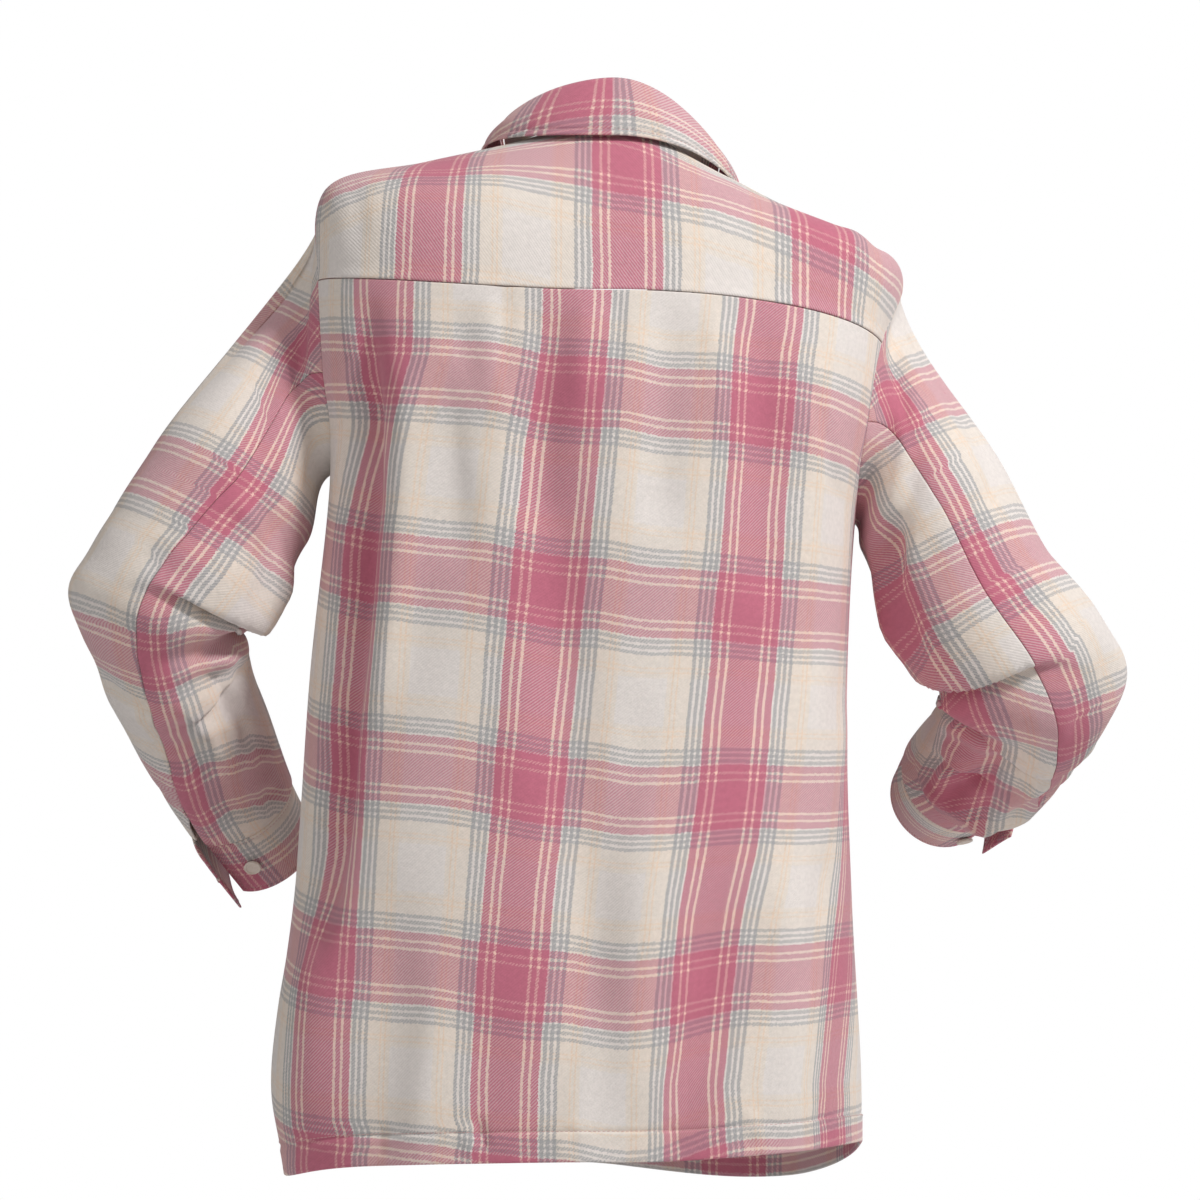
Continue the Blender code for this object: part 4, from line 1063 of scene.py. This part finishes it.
# Where the cloth laps over itself inside the bent elbow: its middle, its reach along and round the arm,
# how far it slides down and stands out, the length of cloth under it, and its lean in sections a degree.
LAP_COLUMNS = ("section", "angle", "along", "round", "slide", "stand", "hidden", "lean")
LEFT_LAPS = (
    (2.05, 160, 0.20, 60, 0.58, 0.0150, 0.006, -0.0065),
    (3.00, 215, 0.16, 45, 0.28, 0.0050, 0.008, 0.0),
    (3.75, 130, 0.17, 48, 0.24, 0.0040, 0.008, -0.004),
)
RIGHT_LAPS = (
    (2.02, 155, 0.20, 64, 0.58, 0.0150, 0.012, -0.0083),
    (3.25, 120, 0.16, 48, 0.30, 0.0050, 0.012, -0.006),
    (3.00, 215, 0.16, 45, 0.28, 0.0050, 0.010, 0.0),
    (5.15, 110, 0.17, 60, 0.30, 0.0060, 0.010, 0.0),
)
LAP_SHARPNESS = 1.8
LAP_TURN = 0.6
LAP_FADE = 2.6
HIDDEN_REACH = 1.6
LAP_LEAN_ENDS = (-90, 15)
# Metres of cloth to a degree round the arm and to a section along it, by which creases are placed.
ROUND_METRES = 0.00105
SECTION_METRES = 0.052
AXES_PER_SECTION = 20
ARM_STEPS = (1.0, 0.012)
CALM_AT_ARMHOLE = 0.15
CALM_AT_CUFF = 0.3
ARMHOLE_BLEND = 0.08


class Arm:
    """A sleeve's surface by angle (0 top, 90 back, 180 under) and section (0 armhole, 7 cuff end)."""

    def __init__(self, side, sections, folds, creases, laps, back_seam):
        self.side = side
        self.sections = sections
        self.folds = folds
        self.creases = [
            (a * ROUND_METRES, s * SECTION_METRES, b * ROUND_METRES, e * SECTION_METRES, bow, width, height)
            for a, s, b, e, bow, width, height in creases
        ]
        self.laps = laps
        self.back_seam = back_seam
        self.frames = self.transported()

    def armhole(self, angle):
        """Angle and level on the body of the armhole's edge."""
        turn = np.radians(angle)
        half = (SHOULDER_LEVEL - ARMPIT_LEVEL) / 2
        level = (ARMPIT_LEVEL + SHOULDER_LEVEL) / 2 + half * np.cos(turn)
        s = np.sin(turn)
        up = (level - ARMPIT_LEVEL) / (2 * half)
        around = ARMHOLE_LEAN * up + np.where(s > 0, ARMHOLE_BACK, ARMHOLE_FRONT) * s
        return (around if self.side > 0 else 180 - around), level

    def departure(self, angle):
        """Direction in which the sleeve leaves the armhole, turned out of the panel's plane."""
        edge = body_base(*self.armhole(angle + 1)) - body_base(*self.armhole(angle - 1))
        out = normals(body_base, *self.armhole(angle), *BODY_STEPS)
        inward = unit(np.cross(out, edge))
        towards = self.hole_centre() - body_base(*self.armhole(angle))
        inward = inward * np.sign((inward * towards).sum(-1, keepdims=True))
        round_arm = np.abs((angle + 180) % 360 - 180)
        turn = np.radians(curve(np.array(DEPARTURE, float)[:, None], round_arm / 45)[..., 0])[..., None]
        return np.cos(turn) * inward + np.sin(turn) * out

    def hole_centre(self):
        angle = (ARMHOLE_LEAN + ARMHOLE_BACK - ARMHOLE_FRONT) / 2
        level = (ARMPIT_LEVEL + SHOULDER_LEVEL) / 2
        return body_base(angle if self.side > 0 else 180 - angle, level)

    def transported(self):
        """Axes across each section, carried along the arm without twist."""
        spans = len(self.sections) - 1
        place = np.linspace(0, spans, AXES_PER_SECTION * spans + 1)
        centres = curve(self.sections, place)[:, :3]
        ahead = unit(np.gradient(centres, axis=0))
        outer = np.array([self.side, 0.0, 0.5])
        rows = []
        for direction in ahead:
            outer = outer - (outer @ direction) * direction
            outer = outer / np.linalg.norm(outer)
            rows.append(np.concatenate([outer, direction]))
        return np.array(rows)

    def ring(self, angle, section):
        """A point of the free arm, from section 1 on."""
        place = np.clip(section - 1, 0, len(self.sections) - 1)
        row = curve(self.sections, place)
        frame = curve(self.frames, place * AXES_PER_SECTION)
        outer, ahead = unit(frame[..., :3]), unit(frame[..., 3:])
        back = self.side * np.cross(outer, ahead)
        turn = np.radians(angle)[..., None]
        deep = np.where(np.sin(turn) > 0, row[..., 4:5], row[..., 5:6])
        point = row[..., :3] + row[..., 3:4] * np.cos(turn) * outer + deep * np.sin(turn) * back
        return point, ahead

    def plain(self, angle, section):
        angle, section = np.broadcast_arrays(np.asarray(angle, float), np.asarray(section, float))
        free, ahead = self.ring(angle, np.maximum(section, 1.0))
        around, level = self.armhole(angle)
        start = plain_form(around, level)
        end, end_ahead = self.ring(angle, np.ones_like(section))
        span = np.linalg.norm(end - start, axis=-1, keepdims=True)
        leave = self.departure(angle)
        t = np.clip(section, 0, 1)[..., None]
        blend = (
            (2 * t**3 - 3 * t**2 + 1) * start
            + (t**3 - 2 * t**2 + t) * span * leave
            + (3 * t**2 - 2 * t**3) * end
            + (t**3 - t**2) * span * end_ahead
        )
        return np.where((section < 1)[..., None], blend, free)

    def fold_height(self, angle, section):
        total = np.zeros(np.shape(angle))
        for row in self.folds:
            fold = dict(zip(SLEEVE_FOLD_COLUMNS, row))
            round_arm = (angle - fold["angle"] + 180) % 360 - 180
            along = (section - fold["section"]) / fold["along"]
            total += fold["height"] * np.exp(-(along**2) - (round_arm / fold["round"]) ** 2)
        around = angle % 360
        total += crease_heights(self.creases, around * ROUND_METRES, section * SECTION_METRES)
        total *= np.clip(section / CALM_AT_ARMHOLE, 0, 1)
        return total * np.clip((CUFF_SECTION - section) / CALM_AT_CUFF, 0, 1)

    @staticmethod
    def lap_line(lap, round_arm):
        """Section at which a lap lies, so many degrees from its middle."""
        return lap["section"] + lap["lean"] * np.clip(round_arm, *LAP_LEAN_ENDS)

    def surface(self, angle, section):
        """The whole surface. In a lap the cloth slides down the arm, stands out above and tucks in below."""
        angle, section = np.broadcast_arrays(np.asarray(angle, float), np.asarray(section, float))
        moved, stand = section, 0.0
        for row in self.laps:
            lap = dict(zip(LAP_COLUMNS, row))
            round_arm = (angle - lap["angle"] + 180) % 360 - 180
            shown = np.exp(-((round_arm / lap["round"]) ** 2))
            off = (section - self.lap_line(lap, round_arm)) / lap["along"]
            moved = moved + lap["slide"] * shown * np.exp(-(off**2))
            turned = np.tanh(LAP_SHARPNESS * (off - LAP_TURN))
            stand = stand - lap["stand"] * shown * turned * np.exp(-((off / LAP_FADE) ** 2))
        height = self.fold_height(angle, moved) + stand
        return self.plain(angle, moved) + height[..., None] * self.facing(self.plain, angle, moved)

    def hidden(self, angle, section):
        """Length of cloth that the laps above a point hide."""
        total = np.zeros(np.shape(angle))
        for row in self.laps:
            lap = dict(zip(LAP_COLUMNS, row))
            round_arm = (angle - lap["angle"] + 180) % 360 - 180
            shown = np.exp(-((round_arm / lap["round"]) ** 2))
            start = self.lap_line(lap, round_arm)
            total += lap["hidden"] * shown * smooth((section - start) / (HIDDEN_REACH * lap["along"]))
        return total

    def facing(self, surface, angle, section):
        return -self.side * normals(surface, angle, section, *ARM_STEPS)

    def out(self, points, angle, section):
        """Outward normals. At the armhole they are the body's, so that both edges meet squarely."""
        free = grid_normals(points, self.facing(self.plain, angle, section))
        edge = normals(plain_form, *self.armhole(angle[0]), *FORM_STEPS)
        share = np.clip(section / ARMHOLE_BLEND, 0, 1)[..., None]
        return unit(share * free + (1 - share) * edge)

    def seam(self, section, back):
        table = self.back_seam if back else FRONT_SEAM
        return curve(np.array(table, float)[:, None], section)[..., 0]


SLEEVE_MIDDLE = 40.0
LEFT_SLEEVE_START = (-0.024, 0.002, 0.080)
RIGHT_SLEEVE_START = (-0.006, 0.078, 0.076)
ELBOW_EASE = 0.018
EASE_START = 3.1
OWN_SHARE = 0.8
SLEEVE_GRID = 0.0030
SLEEVE_GIRTH = 0.40
TOP_SHARE = 0.62
UNDER_SHARE = 0.38
left_arm = Arm(1, LEFT_SECTIONS, LEFT_SLEEVE_FOLDS, LEFT_CREASES, LEFT_LAPS, LEFT_BACK_SEAM)
right_arm = Arm(-1, RIGHT_SECTIONS, RIGHT_SLEEVE_FOLDS, RIGHT_CREASES, RIGHT_LAPS, RIGHT_BACK_SEAM)
for arm, hand, starts in ((left_arm, "left", LEFT_SLEEVE_START), (right_arm, "right", RIGHT_SLEEVE_START)):
    outer_line = even_steps(lambda v: arm.plain(np.full(len(v), 90.0), v), 0.0, CUFF_SECTION, SLEEVE_GRID)
    vent = VENT_OPEN * np.clip((outer_line - VENT_START) / (CUFF_SECTION - VENT_START), 0, 1)
    back, front = arm.seam(outer_line, True), arm.seam(outer_line, False)
    pieces = (
        ("top", front + SLEEVE_SEAM, back - SLEEVE_SEAM - vent, TOP_SHARE),
        ("under", back + SLEEVE_SEAM + vent, front + 360 - SLEEVE_SEAM, UNDER_SHARE),
    )
    for part, start, end, girth in pieces:
        count = int(SLEEVE_GIRTH * girth / GRID)
        near = EDGE_STEPS / (SLEEVE_GIRTH * girth)
        share = np.concatenate([near, np.linspace(0, 1, count)[2:-2], 1 - near[::-1]])
        angle = start[:, None] + (end - start)[:, None] * share
        section = np.repeat(outer_line[:, None], len(share), 1)
        points = arm.surface(angle, section)
        out = arm.out(points, angle, section)
        inward = arm.hole_centre() - points[0]
        inward -= (inward * out[0]).sum(-1, keepdims=True) * out[0]
        points[0] += ARMHOLE_GAP * unit(inward)
        plain = arm.plain(angle, section)
        run = run_lengths(plain, 1)
        nearest = np.abs(angle - SLEEVE_MIDDLE).argmin(1)
        if part == "top":
            around = run - run[np.arange(len(run)), nearest][:, None]
            around += starts[0] - around[np.abs(outer_line - 2.0).argmin(), -1]
        else:
            around = run + starts[1]
        down = run_lengths(points, 0) + arm.hidden(angle, section)
        free = np.abs(outer_line - 1.0).argmin()
        outline = down.mean(1, keepdims=True)
        if part == "top":
            cap = outline[free]
        own, shared = down - down[free], outline - outline[free]
        past = OWN_SHARE * own + (1 - OWN_SHARE) * shared
        down = cap + np.where(section < 1, own, past) + ELBOW_EASE * smooth(section - EASE_START)
        place = np.stack([around, starts[2] + down, np.ones_like(down)], -1)
        piece = shell(f"sleeve_{hand}_{part}_cloth", points, out, CLOTH, place)
        dress(piece, f"sleeve_{hand}_{part}")

# Cuffs: straight doubled bands on the sleeve ends, worn unbuttoned.
# The end with the buttonhole reaches past the vent and stands away from the wrist as a tab.
CUFF_CLOTH = 0.0022
CUFF_GAP = 0.014
CUFF_INSET = 0.0015
CUFF_LAP = 24.0
TAB_LIFT = 0.016
TAB_REACH = 50.0
CUFF_STITCH = 0.004
CUFF_GRID = 0.0028
CUFF_HOLE_INSET = 0.017
CUFF_MIDDLE = 6.5
CUFF_WEFT_START = 0.098
marks = (CUFF_STITCH, -CUFF_STITCH)
for arm, hand in ((left_arm, "left"), (right_arm, "right")):
    vent = arm.seam(np.array(CUFF_SECTION), True) + VENT_OPEN
    rows = even_steps(
        lambda v: arm.plain(np.full(len(v), 90.0), v), CUFF_SECTION + CUFF_GAP, LAST_SECTION, CUFF_GRID, marks
    )
    turn = 360 - 2 * VENT_OPEN + CUFF_LAP
    shares = even_steps(lambda v: arm.plain(vent + turn * v, CUFF_MIDDLE), 0.0, 1.0, CUFF_GRID, marks)
    around = vent + shares * turn
    angle = np.repeat(around[None], len(rows), 0)
    section = np.repeat(rows[:, None], len(around), 1)
    lift = TAB_LIFT * np.clip((angle - around[-1] + TAB_REACH) / TAB_REACH, 0, 1) ** 2
    out = arm.facing(arm.plain, angle, section)
    points = arm.plain(angle, section) + (lift - CUFF_INSET)[..., None] * out
    down, run = run_lengths(points, 0), run_lengths(points, 1)
    rim = np.minimum(np.minimum(down, down[-1:] - down), np.minimum(run, run[:, -1:] - run))
    sink = stitch_groove(rim, CUFF_STITCH) + RIM_FULLNESS * smooth(1 - rim / CUFF_STITCH)
    cuff_cloth = np.stack([run, CUFF_WEFT_START + down, np.ones_like(run)], -1)
    cuff_out = grid_normals(points, out)
    face = points + sink[..., None] * cuff_out
    piece = shell(f"cuff_{hand}_cloth", face, cuff_out, CUFF_CLOTH, cuff_cloth)
    dress(piece, f"cuff_{hand}")
    top = np.abs(down.mean(1) - CUFF_STITCH).argmin()
    low = np.abs((down[-1:] - down).mean(1) - CUFF_STITCH).argmin()
    start = np.abs(run.mean(0) - CUFF_STITCH).argmin()
    end = np.abs((run[:, -1:] - run).mean(0) - CUFF_STITCH).argmin()
    cuff_rows = [stitched(face[row, start : end + 1], cuff_out[row, start : end + 1]) for row in (top, low)]
    for column in (start, end):
        cuff_rows.append(stitched(face[top : low + 1, column], cuff_out[top : low + 1, column]))
    column = np.abs((run[:, -1:] - run).mean(0) - CUFF_HOLE_INSET).argmin()
    row = len(rows) // 2
    along = unit(face[row, column + 1] - face[row, column - 1])
    cuff_rows.append(buttonhole(face[row, column], along, cuff_out[row, column]))
    sew(f"cuff_{hand}_stitches", cuff_rows)

# Buttons: pale turned plastic, the front ones sewn to the bands and one on each cuff's under end.
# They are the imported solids, given a cloudy plastic with a low gloss.
button_plastic = bpy.data.materials.new("cloudy button plastic")
button_plastic.use_nodes = True
tree = button_plastic.node_tree
shader = tree.nodes["Principled BSDF"]
spot = add_node(tree, "ShaderNodeTexCoord").outputs["Object"]
cloudy = {"Vector": spot, "Scale": 160.0, "Detail": 3.0, "Distortion": 1.5}
cloud = add_node(tree, "ShaderNodeTexNoise", cloudy).outputs["Fac"]
tint = mixed(tree, "MIX", cloud, paint(214, 196, 182), paint(236, 226, 214))
tree.links.new(tint, shader.inputs["Base Color"])
gloss = add_node(tree, "ShaderNodeMapRange", {"Value": cloud, "To Min": 0.22, "To Max": 0.40}).outputs[0]
tree.links.new(gloss, shader.inputs["Roughness"])
shader.inputs["Coat Weight"].default_value = 0.3
for name, solid in frame["nodes"].items():
    if "button" in name:
        solid.data.materials.clear()
        solid.data.materials.append(button_plastic)

# Studio: a pale floor below the hem, a pale room that is brighter above, and three soft lamps.
# The strongest lamp stands behind the garment, on the wearer's right and above it.
ROOM_BELOW = 0.07
ROOM_ABOVE = 0.37
CAMERA_PLACE = (0.009, 2.567, -0.75)
CAMERA_PITCH = 99.0
CAMERA_LENS = 105.4
FLOOR_LEVEL = -1.25
LAMP_AIM = (0.0, 0.0, -0.35)

FLOOR_HALF = 6.0
floor_mesh = bpy.data.meshes.new("floor")
corners = [(x * FLOOR_HALF, y * FLOOR_HALF, FLOOR_LEVEL) for x, y in ((-1, -1), (1, -1), (1, 1), (-1, 1))]
floor_mesh.from_pydata(corners, [], [(0, 1, 2, 3)])
floor = bpy.data.objects.new("floor", floor_mesh)
bpy.context.scene.collection.objects.link(floor)
pale = bpy.data.materials.new("pale floor")
pale.use_nodes = True
shader = pale.node_tree.nodes["Principled BSDF"]
shader.inputs["Base Color"].default_value = (0.72, 0.72, 0.72, 1)
shader.inputs["Roughness"].default_value = 0.9
floor_mesh.materials.append(pale)

room = bpy.data.worlds.new("soft room")
bpy.context.scene.world = room
room.use_nodes = True
tree = room.node_tree
tree.nodes.clear()
seen = add_node(tree, "ShaderNodeLightPath").outputs["Is Camera Ray"]
facing = add_node(tree, "ShaderNodeTexCoord").outputs["Generated"]
height = add_node(tree, "ShaderNodeSeparateXYZ", {0: facing})
bounds = {"From Min": -0.6, "From Max": 0.9, "To Min": ROOM_BELOW, "To Max": ROOM_ABOVE}
glow = add_node(tree, "ShaderNodeMapRange", {"Value": height.outputs["Z"], **bounds}).outputs[0]
ambient = add_node(tree, "ShaderNodeBackground", {"Color": (1.0, 0.985, 0.97, 1), "Strength": glow})
white = add_node(tree, "ShaderNodeBackground", {"Color": (1, 1, 1, 1), "Strength": 1.0})
both = add_node(tree, "ShaderNodeMixShader", {0: seen})
tree.links.new(ambient.outputs[0], both.inputs[1])
tree.links.new(white.outputs[0], both.inputs[2])
sky = add_node(tree, "ShaderNodeOutputWorld")
tree.links.new(both.outputs[0], sky.inputs["Surface"])

# Name, place, size in metres and power in watts.
LAMPS = (
    ("key lamp", (-1.95, 1.85, 1.75), 0.5, 90.0),
    ("side lamp", (2.0, 2.2, 0.9), 1.6, 16.0),
    ("front lamp", (-1.6, -2.4, 1.2), 1.8, 22.0),
)
for name, spot, size, watts in LAMPS:
    light = bpy.data.lights.new(name, "AREA")
    light.size = size
    light.energy = watts
    lamp = bpy.data.objects.new(name, light)
    bpy.context.scene.collection.objects.link(lamp)
    lamp.location = spot
    aim = np.array(LAMP_AIM) - np.array(spot)
    lamp.rotation_euler = (np.arccos(-aim[2] / np.linalg.norm(aim)), 0.0, np.arctan2(aim[0], -aim[1]) + np.pi)

lens = bpy.data.cameras.new("camera")
lens.lens = CAMERA_LENS
lens.sensor_width = 36.0
camera = bpy.data.objects.new("camera", lens)
camera.location = CAMERA_PLACE
camera.rotation_euler = (np.radians(CAMERA_PITCH), 0.0, np.pi)
bpy.context.scene.collection.objects.link(camera)
bpy.context.scene.camera = camera
bpy.context.scene.view_settings.view_transform = "Standard"
